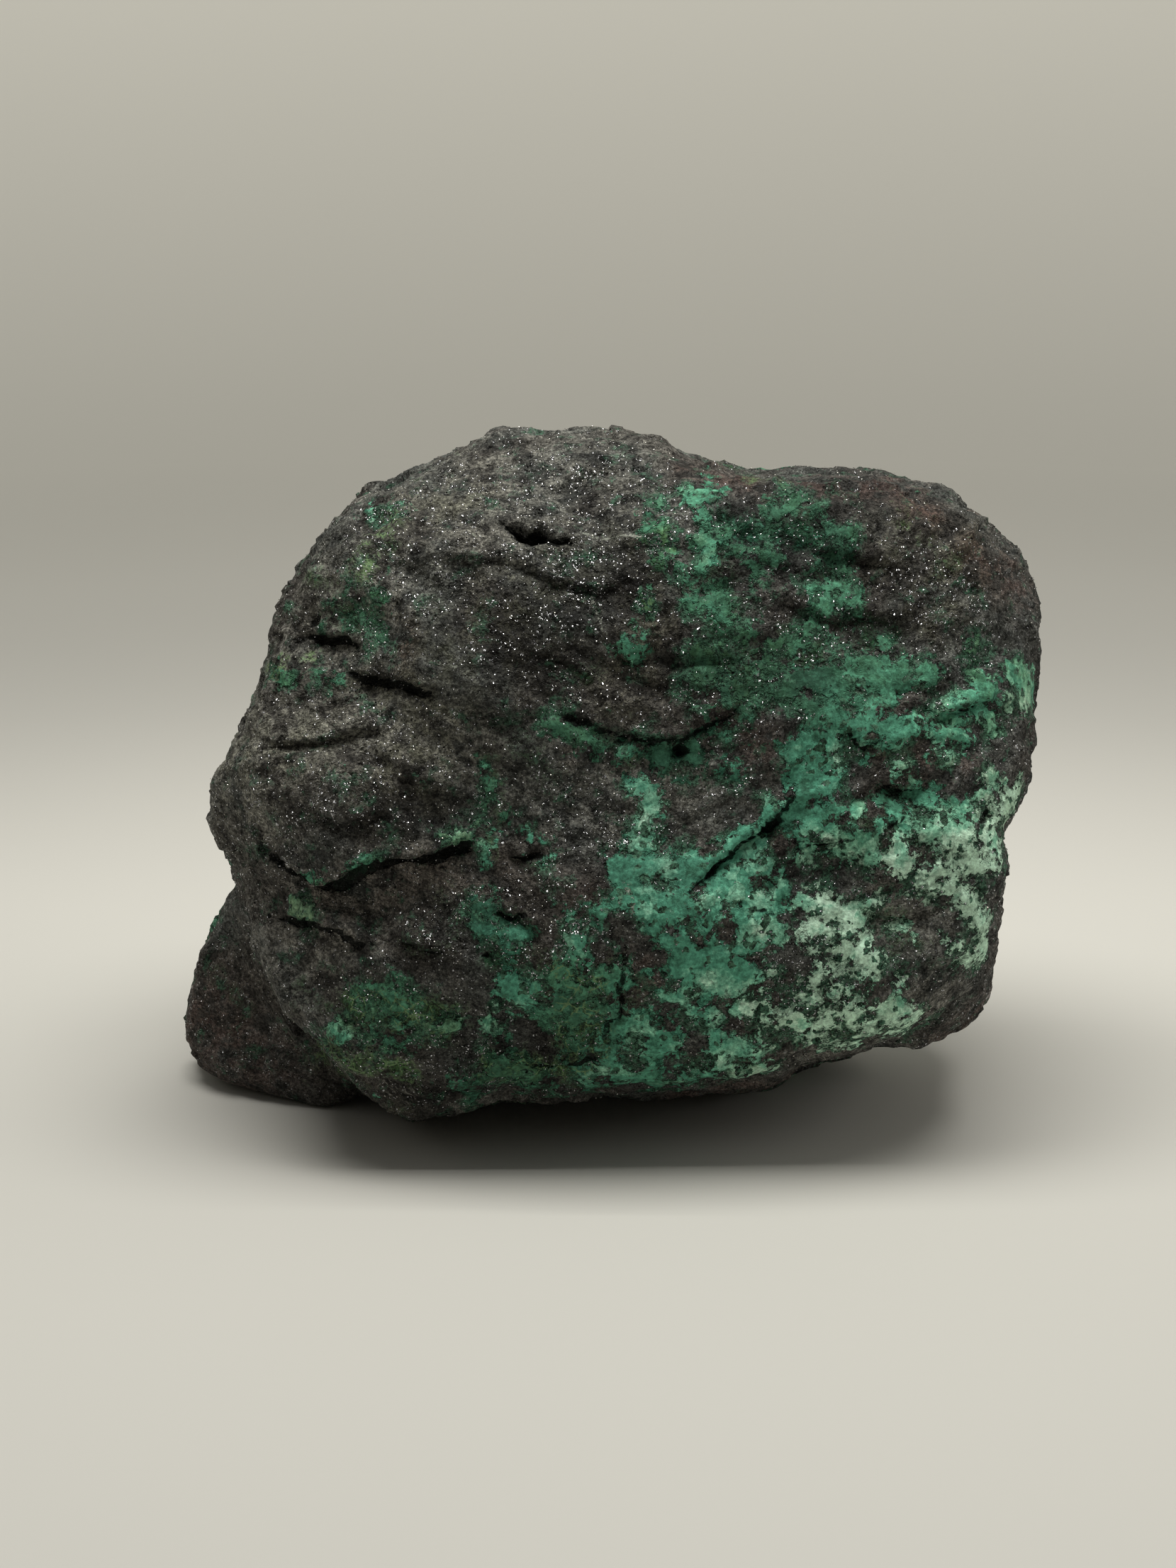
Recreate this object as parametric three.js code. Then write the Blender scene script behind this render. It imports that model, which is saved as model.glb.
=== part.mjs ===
// A hand specimen of chrysocolla, 18 cm across: one broken lump of dark rock with a
// green crust on its broken face. It is one natural piece, so it is one solid.
//
// Rays leave a heart point inside the lump. Broken facets, an outline and the table each
// cut a ray to length, and broad swells and lumps then move its end a little. The broken
// face leans back, so all of this happens in a face frame: u runs right along the face,
// v runs up it, and w comes straight out of it.
import * as THREE from "three";
import { ImprovedNoise } from "three/addons/math/ImprovedNoise.js";

// Driving dimensions, in millimetres.
const LEAN = THREE.MathUtils.degToRad(15);
const FACE_CENTRE = new THREE.Vector3(2, -12.7, 72.5); // origin of the face frame
const HEART_DEPTH = 12; // from the face frame's origin back to the heart
const FLARE = 480; // the flanks widen backwards, as a cone with its tip this far in front
const COLUMNS = 96; // rays round the w axis
const ROWS = 44; // steps from the front pole to the back pole
const REACH = { across: 80, deep: 56 }; // spaces the rows evenly over the lump
const FACET_CRISPNESS = 13; // a higher power rounds the edges between facets less
const OUTLINE_CRISPNESS = 30;

// Outline of the main block, square to its face, anticlockwise from the right.
const BLOCK_OUTLINE = [
  [87.2, 0.6], [88.4, 16.2], [88.8, 22.2], [90.2, 28], [90.4, 36], [89, 45.2], [87, 50.4],
  [82.5, 53.4], [76.8, 56], [69.6, 61], [62, 62.6], [55.4, 64.5], [44.6, 65], [34.5, 64.8],
  [29.7, 63.9], [20.4, 66.9], [14.4, 66.9], [11.1, 69.8], [3.6, 72.2], [-6.1, 74.4],
  [-12.9, 72.8], [-23.7, 73.7], [-33, 69.9], [-44.3, 64.7], [-48.3, 61.5], [-52.7, 60.6],
  [-57.9, 53.9], [-66, 45], [-70.8, 35.4], [-73.4, 23.3], [-76.8, 14.4], [-81.5, 4.8],
  [-84.9, -2.4], [-84, -11.3], [-80.5, -18.2], [-78, -27], [-75, -37], [-70, -46],
  [-64, -52], [-56, -61], [-49.4, -67.7], [-44.9, -71.3], [-39.6, -72.9], [-34.7, -70.8],
  [-28.2, -70.2], [-24.6, -68.3], [-14.3, -68.7], [-3, -66.9], [4.4, -67.8], [20, -65.9],
  [34.2, -66], [40.2, -60.8], [49.8, -57.6], [57.9, -55.5], [62, -57], [68.3, -54],
  [75.6, -52.5], [78.8, -47], [80.6, -37.5], [80.4, -31.8], [82.7, -16], [81.8, -11.9],
  [84.5, -6.8], [87.2, 0.6],
];

// Outline of the foot, which stands behind the block's lower left corner.
const FOOT_OUTLINE = [
  [-80.5, -18.2], [-82.8, -27], [-87.9, -38], [-89.9, -45.6], [-90.7, -53.6], [-87.5, -59.6],
  [-83.4, -63.2], [-75.5, -65.7], [-65.9, -68.9], [-60.2, -69.9], [-52.5, -68.3],
  [-47.7, -66],
];

// Broken facets: the way each one faces, and its distance from the heart.
const BLOCK_FACETS = [
  { name: "face, middle", faces: [0.04, 0.03, 1], distance: 53 },
  { name: "face, left", faces: [-0.4, 0.02, 0.92], distance: 62 },
  { name: "face, right", faces: [0.26, 0.05, 0.96], distance: 62.5 },
  { name: "face, below", faces: [0.08, -0.46, 0.88], distance: 61.5 },
  { name: "left ridge", faces: [-0.88, 0.02, 0.47], distance: 87 },
  { name: "right flank, front", faces: [0.86, 0.05, 0.5], distance: 91 },
  { name: "dome", faces: [-0.12, 0.62, 0.78], distance: 66 },
  { name: "crest", faces: [0.05, 0.92, 0.38], distance: 79 },
  { name: "shoulder, right", faces: [0.6, 0.62, 0.5], distance: 104 },
  { name: "underside, front", faces: [0.1, -0.985, 0.1], distance: 72 },
  { name: "underside, right", faces: [0.55, -0.8, 0.2], distance: 87 },
  { name: "back, right half", faces: [0.26, 0.12, -0.96], distance: 53 },
  { name: "back, left half", faces: [-0.36, -0.2, -0.91], distance: 57 },
  { name: "back, top", faces: [-0.14, 0.74, -0.66], distance: 66 },
  { name: "back, top right", faces: [0.52, 0.62, -0.58], distance: 80 },
  { name: "back, left", faces: [-0.82, 0.26, -0.5], distance: 77 },
  { name: "back, right", faces: [0.84, -0.04, -0.54], distance: 83 },
  { name: "back, below", faces: [0.3, -0.66, -0.68], distance: 82 },
];

const FOOT_FACETS = [
  { name: "front", faces: [-0.35, -0.1, 0.93], distance: 31.5 },
  { name: "top", faces: [-0.45, 0.85, -0.25], distance: 19 },
  { name: "back", faces: [-0.05, 0.1, -0.99], distance: 46 },
  { name: "back, outer", faces: [-0.66, 0.1, -0.74], distance: 76 },
  { name: "inner side", faces: [0.6, -0.7, -0.35], distance: 17 },
];

// Broad swells and hollows of the front: middle, half widths along u and v, and height.
const SWELLS = [
  { name: "dome", middle: [-24, 50], half: [34, 16], height: 3.5 },
  { name: "hollow under the dome", middle: [4, 24], half: [26, 10], height: -5 },
  { name: "upper right panel", middle: [56, 42], half: [26, 14], height: -2 },
  { name: "left bulge", middle: [-58, -3], half: [22, 11], height: 5.5 },
  { name: "hollow under the bulge", middle: [-52, -27], half: [24, 7], height: -3.5 },
  { name: "green boss", middle: [14, -28], half: [20, 16], height: 2.5 },
  { name: "right shelf", middle: [52, 12], half: [22, 9], height: 3 },
  { name: "hollow under the shelf", middle: [60, -3], half: [12, 4], height: -3 },
  { name: "pale boss", middle: [62, -13], half: [14, 8], height: 2 },
  { name: "lower right boss", middle: [50, -42], half: [16, 14], height: 2.5 },
  { name: "knob", middle: [-40, -66], half: [10, 7], height: 3 },
];

// Lumps all over, higher on the back than on the face: how far apart, and how high.
const LUMPS = [
  { spacing: 36, height: 2 },
  { spacing: 15, height: 0.9 },
];
const BACK_ROUGHNESS = 2; // height of the back's lumps as a multiple of the flanks'

const noise = new ImprovedNoise();

function outlineRadius(outline, angle) {
  // Distance from the w axis to the outline at this angle, and 0 where it has no side.
  const ray = new THREE.Vector2(Math.cos(angle), Math.sin(angle));
  let radius = 0;
  for (let index = 1; index < outline.length; index += 1) {
    const start = new THREE.Vector2(...outline[index - 1]);
    const side = new THREE.Vector2(...outline[index]).sub(start);
    const alongSide = start.cross(ray) / ray.cross(side);
    const alongRay = start.cross(side) / ray.cross(side);
    if (alongSide >= 0 && alongSide <= 1 && alongRay > 0) {
      radius = Math.max(radius, alongRay);
    }
  }
  return radius;
}

function leastOf(lengths, crispness) {
  // The least of several lengths, rounded off where two of them are close.
  const sum = lengths.reduce((total, length) => total + length ** -crispness, 0);
  return sum ** (-1 / crispness);
}

function bodyLength(direction, radius, facets) {
  // A ray's length inside facets and a flared outline. A facet that the ray never meets,
  // because they run apart, is left out.
  if (radius === 0) {
    return 0;
  }
  const toFacets = facets
    .map(({ faces, distance }) => {
      return distance / direction.dot(new THREE.Vector3(...faces).normalize());
    })
    .filter((length) => length > 0);
  const across = Math.hypot(direction.x, direction.y);
  const toOutline = (radius * (1 + HEART_DEPTH / FLARE))
    / Math.max(1e-6, across + (radius / FLARE) * direction.z);
  return leastOf([leastOf(toFacets, FACET_CRISPNESS), toOutline], OUTLINE_CRISPNESS);
}

function tableLength(direction) {
  // A ray's length down to the table, which is endless for a ray that climbs.
  const drop = FACE_CENTRE.z - HEART_DEPTH * Math.sin(LEAN);
  const fall = -(direction.y * Math.cos(LEAN) + direction.z * Math.sin(LEAN));
  return fall > 0 ? drop / fall : Infinity;
}

function relief(end, direction) {
  // What the swells, on the front only, and the lumps add to a ray's length.
  let height = 0;
  for (const { middle, half, height: rise } of SWELLS) {
    const square = ((end.x - middle[0]) / half[0]) ** 2 + ((end.y - middle[1]) / half[1]) ** 2;
    height += rise * Math.exp(-square) * Math.max(0, direction.z);
  }
  const roughness = BACK_ROUGHNESS ** -direction.z;
  for (const { spacing, height: rise } of LUMPS) {
    const wave = noise.noise(end.x / spacing, end.y / spacing, end.z / spacing);
    height += rise * roughness * wave;
  }
  return height;
}

function rayEnd(direction, angle) {
  // The skin of the lump along one ray, as a point of the part's own frame.
  const heart = new THREE.Vector3(0, 0, -HEART_DEPTH);
  const block = bodyLength(direction, outlineRadius(BLOCK_OUTLINE, angle), BLOCK_FACETS);
  const foot = bodyLength(direction, outlineRadius(FOOT_OUTLINE, angle), FOOT_FACETS);
  const smooth = Math.max(block, foot);
  const end = heart.clone().addScaledVector(direction, smooth);
  const length = Math.min(smooth + relief(end, direction), tableLength(direction));
  const lean = new THREE.Matrix4().makeRotationX(Math.PI / 2 - LEAN);
  return heart.addScaledVector(direction, length).applyMatrix4(lean).add(FACE_CENTRE);
}

function specimenGeometry() {
  // Rows of ray ends from the front pole to the back pole, joined into one closed skin.
  const points = [rayEnd(new THREE.Vector3(0, 0, 1), 0)];
  for (let row = 1; row < ROWS; row += 1) {
    const tilt = (Math.PI * row) / ROWS;
    for (let column = 0; column < COLUMNS; column += 1) {
      const angle = (2 * Math.PI * column) / COLUMNS;
      const across = REACH.across * Math.sin(tilt);
      const direction = new THREE.Vector3(
        across * Math.cos(angle),
        across * Math.sin(angle),
        REACH.deep * Math.cos(tilt),
      );
      points.push(rayEnd(direction.normalize(), angle));
    }
  }
  points.push(rayEnd(new THREE.Vector3(0, 0, -1), 0));

  const last = points.length - 1;
  const at = (row, column) => 1 + (row - 1) * COLUMNS + (column % COLUMNS);
  const faces = [];
  for (let column = 0; column < COLUMNS; column += 1) {
    faces.push(0, at(1, column), at(1, column + 1));
    for (let row = 1; row < ROWS - 1; row += 1) {
      faces.push(at(row, column), at(row + 1, column), at(row + 1, column + 1));
      faces.push(at(row, column), at(row + 1, column + 1), at(row, column + 1));
    }
    faces.push(at(ROWS - 1, column), last, at(ROWS - 1, column + 1));
  }
  const geometry = new THREE.BufferGeometry().setFromPoints(points);
  geometry.setIndex(faces);
  geometry.computeVertexNormals();
  return geometry;
}

const rock = new THREE.MeshStandardMaterial({ color: 0x3c3a37, roughness: 0.8, metalness: 0 });
const stone = new THREE.Mesh(specimenGeometry(), rock);
stone.name = "stone";

const specimen = new THREE.Group();
specimen.add(stone);

export default specimen;
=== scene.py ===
"""A chrysocolla hand specimen: one broken lump of dark sparkling rock, with a blue-green crust.

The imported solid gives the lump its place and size. The surface is worked out in
millimetres in the face frame of that solid: u runs right along the broken face, v runs up
it, and w comes straight out of it.
"""

import bmesh
import bpy
import numpy as np
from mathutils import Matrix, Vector


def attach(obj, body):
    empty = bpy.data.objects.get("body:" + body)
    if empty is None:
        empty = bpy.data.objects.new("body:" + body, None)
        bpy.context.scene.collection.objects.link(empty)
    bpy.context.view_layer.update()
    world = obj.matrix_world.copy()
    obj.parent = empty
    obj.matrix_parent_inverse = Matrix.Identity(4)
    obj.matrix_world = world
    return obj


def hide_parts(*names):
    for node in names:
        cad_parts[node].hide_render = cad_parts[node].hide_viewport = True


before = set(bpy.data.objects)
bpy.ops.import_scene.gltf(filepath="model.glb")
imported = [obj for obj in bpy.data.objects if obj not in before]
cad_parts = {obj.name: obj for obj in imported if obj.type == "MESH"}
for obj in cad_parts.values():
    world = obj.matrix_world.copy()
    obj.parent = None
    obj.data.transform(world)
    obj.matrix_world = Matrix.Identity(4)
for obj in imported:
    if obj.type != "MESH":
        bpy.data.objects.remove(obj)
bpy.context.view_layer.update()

# ---------------------------------------------------------------------------------------
# The stone. One natural lump: dark fine-grained rock that broke along an uneven face, and
# a chrysocolla and malachite crust that grew over that face. It is a single piece and
# stands on its own base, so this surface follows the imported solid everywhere.
# ---------------------------------------------------------------------------------------
# The face leans back by LEAN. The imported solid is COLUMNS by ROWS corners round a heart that
# lies HEART_DEPTH behind the face's centre. Lengths are in millimetres.
LEAN = np.radians(15)
FACE_CENTRE = np.array([2.0, -12.7, 72.5])
FACE_AXES = np.array([
    [1, 0, 0],
    [0, np.sin(LEAN), np.cos(LEAN)],
    [0, -np.cos(LEAN), np.sin(LEAN)],
])
HEART_DEPTH = 12.0
COLUMNS = 96
ROWS = 44


def to_face(points):
    """Metres in the part's frame to millimetres in the face frame."""
    return (points * 1000 - FACE_CENTRE) @ FACE_AXES.T


def to_part(points):
    """Millimetres in the face frame to metres in the part's frame."""
    return (points @ FACE_AXES + FACE_CENTRE) / 1000


def packed_rays(node):
    """The solid's corners as a grid of rays round its heart, poles included.

    The corners are merged, then sorted by their turn round the w axis and, within one
    column, by how far they lie off it. Row 0 is the front pole and the last row the back.
    """
    merged = bmesh.new()
    merged.from_mesh(node.data)
    bmesh.ops.remove_doubles(merged, verts=merged.verts, dist=1e-5)
    corners = to_face(np.array([corner.co for corner in merged.verts]))
    merged.free()
    across = np.hypot(corners[:, 0], corners[:, 1])
    poles = corners[across < 0.05]
    corners = corners[across >= 0.05]
    across = across[across >= 0.05]
    turn = np.arctan2(corners[:, 1], corners[:, 0]) * COLUMNS / (2 * np.pi)
    column = np.rint(turn).astype(int) % COLUMNS
    off_axis = np.arctan2(across, corners[:, 2] + HEART_DEPTH)
    order = np.lexsort((off_axis, column))
    grid = corners[order].reshape(COLUMNS, ROWS - 1, 3).transpose(1, 0, 2)
    front_pole, back_pole = poles[np.argsort(-poles[:, 2])]
    once_round = np.ones((1, COLUMNS, 1))
    return np.concatenate([front_pole * once_round, grid, back_pole * once_round])


rays = packed_rays(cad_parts["stone"])


def on_rays(row, column):
    """Points on the skin between the rays, by a Catmull-Rom curve each way.

    A row past a pole is the row on this side of it, half a turn round.
    """
    over = np.roll(rays, COLUMNS // 2, axis=1)
    padded = np.concatenate([over[1:2], rays, over[-2:-4:-1]])
    row_below = np.clip(np.floor(row).astype(int), 0, ROWS - 1)
    column_below = np.floor(column).astype(int)

    def weights(t):
        """The share of each of the four rays round a point: Catmull-Rom's cubics of t."""
        return 0.5 * np.array([
            -t + 2 * t**2 - t**3,
            2 - 5 * t**2 + 3 * t**3,
            t + 4 * t**2 - 3 * t**3,
            -(t**2) + t**3,
        ])

    by_row = weights(row - row_below)
    by_column = weights(column - column_below)
    points = np.zeros(row.shape + (3,))
    for i, j in np.ndindex(4, 4):
        share = (by_row[i] * by_column[j])[..., None]
        points += share * padded[row_below + i, (column_below + j - 1) % COLUMNS]
    return points


RIM_ROW = 25.0


def patch(cells, from_pole):
    """A square of cells bent onto a disc, and laid over the skin from a pole to the rim row.

    The square (s, t) becomes the disc (s sqrt(1 - t^2 / 2), t sqrt(1 - s^2 / 2)). The disc's
    angle picks the column, and its radius picks the row at that share of the mean length
    of the skin between the pole and the rim, so the cells come out alike in size.
    """
    side = np.linspace(-1, 1, cells + 1)
    s, t = np.meshgrid(side, side)
    x = s * np.sqrt(1 - t**2 / 2)
    y = t * np.sqrt(1 - s**2 / 2)
    rows = np.linspace(from_pole, RIM_ROW, 101)
    round_column = np.tile(np.arange(COLUMNS, dtype=float), (101, 1))
    rings = on_rays(np.repeat(rows[:, None], COLUMNS, axis=1), round_column)
    strides = np.linalg.norm(np.diff(rings, axis=0), axis=2).mean(axis=1)
    length = np.concatenate([[0], np.cumsum(strides)]) / strides.sum()
    row = np.interp(np.minimum(np.hypot(x, y), 1), length, rows)
    column = (np.arctan2(y, x) * COLUMNS / (2 * np.pi)) % COLUMNS
    return on_rays(row, column)


def square_cells(numbers):
    """The vertex numbers of each cell of a square grid, anticlockwise."""
    corners = [numbers[:-1, :-1], numbers[:-1, 1:], numbers[1:, 1:], numbers[1:, :-1]]
    return np.stack(corners, axis=-1).reshape(-1, 4)


def edge_of(numbers):
    """The vertex numbers round the edge of a square grid, anticlockwise."""
    sides = [numbers[0, :-1], numbers[:-1, -1], numbers[-1, :0:-1], numbers[:0:-1, 0]]
    return np.concatenate(sides)


# The front is a fine square and the back a coarse one. Every second corner of the front's
# edge is a corner of the back's, and a thin triangle closes the skin over the one between.
FRONT_CELLS = 276
BACK_CELLS = FRONT_CELLS // 2
front = patch(FRONT_CELLS, 0.0)
back = patch(BACK_CELLS, float(ROWS))
front_numbers = np.arange(front.shape[0] ** 2).reshape(front.shape[:2])
front_edge = edge_of(front_numbers)
inner = back[1:-1, 1:-1].reshape(-1, 3)
back_numbers = np.zeros(back.shape[:2], dtype=int)
back_numbers[1:-1, 1:-1] = front_numbers.size + np.arange(len(inner)).reshape(BACK_CELLS - 1, -1)
back_numbers[0, :] = front_numbers[0, ::2]
back_numbers[-1, :] = front_numbers[-1, ::2]
back_numbers[:, 0] = front_numbers[::2, 0]
back_numbers[:, -1] = front_numbers[::2, -1]
seams = np.stack([front_edge[::2], np.roll(front_edge, -2)[::2], front_edge[1::2]], axis=-1)
quads = np.concatenate([square_cells(front_numbers), square_cells(back_numbers)[:, ::-1]])
skin = np.concatenate([front.reshape(-1, 3), inner])


def nearest(places, line):
    """Distance, side and end distance of every place from an open line of straight pieces.

    The side is 1 on the left of the line as it runs and -1 on its right. The end distance
    is how far along the line the nearest point lies from the closer of its two ends.
    """
    line = np.asarray(line, float)
    best = np.full(len(places), np.inf)
    side = np.ones(len(places))
    along = np.zeros(len(places))
    done = 0.0
    for start, end in zip(line[:-1], line[1:]):
        stretch = np.linalg.norm(end - start)
        run = (end - start) / stretch
        offset = places - start
        forward = np.clip(offset @ run, 0, stretch)
        distance = np.linalg.norm(offset - forward[:, None] * run, axis=1)
        left = run[0] * offset[:, 1] >= run[1] * offset[:, 0]
        nearer = distance < best
        side = np.where(nearer, np.where(left, 1, -1), side)
        along = np.where(nearer, done + forward, along)
        best = np.where(nearer, distance, best)
        done += stretch
    return best, side, np.minimum(along, done - along)


def random_at(cells, seed):
    """An even random number from -1 to 1 for each whole-number cell, by integer hashing."""
    mixed = (cells @ np.array([374761393, 668265263, 1440662683]) + seed * 974634777) & 0xFFFFFFFF
    mixed = ((mixed ^ (mixed >> 13)) * 1274126177) & 0xFFFFFFFF
    return ((mixed ^ (mixed >> 16)) & 0xFFFF) / 32767.5 - 1


def waves(points, spacing, seed, layers=1, keep=0.5):
    """Smooth random waves from -1 to 1: the random numbers of the eight cell corners round
    each point, blended. Each further layer is half as long and keep times as high."""
    total = np.zeros(len(points))
    for layer in range(layers):
        scaled = points / (spacing / 2**layer) + 17.3 * layer
        cell = np.floor(scaled).astype(np.int64)
        part = scaled - cell
        part = part * part * (3 - 2 * part)
        for corner in np.ndindex(2, 2, 2):
            share = np.prod(np.where(np.array(corner), part, 1 - part), axis=1)
            total += keep**layer * share * random_at(cell + corner, seed + layer)
    return total


def hackle(points, size, seed):
    """Broken rock: random cells, each one a small flat facet with its own tilt and step."""
    scaled = points / size
    cell = np.floor(scaled).astype(np.int64)
    best = np.full(len(points), np.inf)
    height = np.zeros(len(points))
    for step in np.ndindex(3, 3, 3):
        home = cell + np.array(step) - 1
        jitter = np.stack([random_at(home, seed + k) for k in range(3)], axis=1)
        offset = scaled - (home + 0.5 + 0.45 * jitter)
        distance = (offset**2).sum(axis=1)
        tilt = np.stack([random_at(home, seed + 3 + k) for k in range(3)], axis=1)
        facet = 0.35 * random_at(home, seed + 6) + (tilt * offset).sum(axis=1)
        height = np.where(distance < best, facet, height)
        best = np.minimum(best, distance)
    return height


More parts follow.
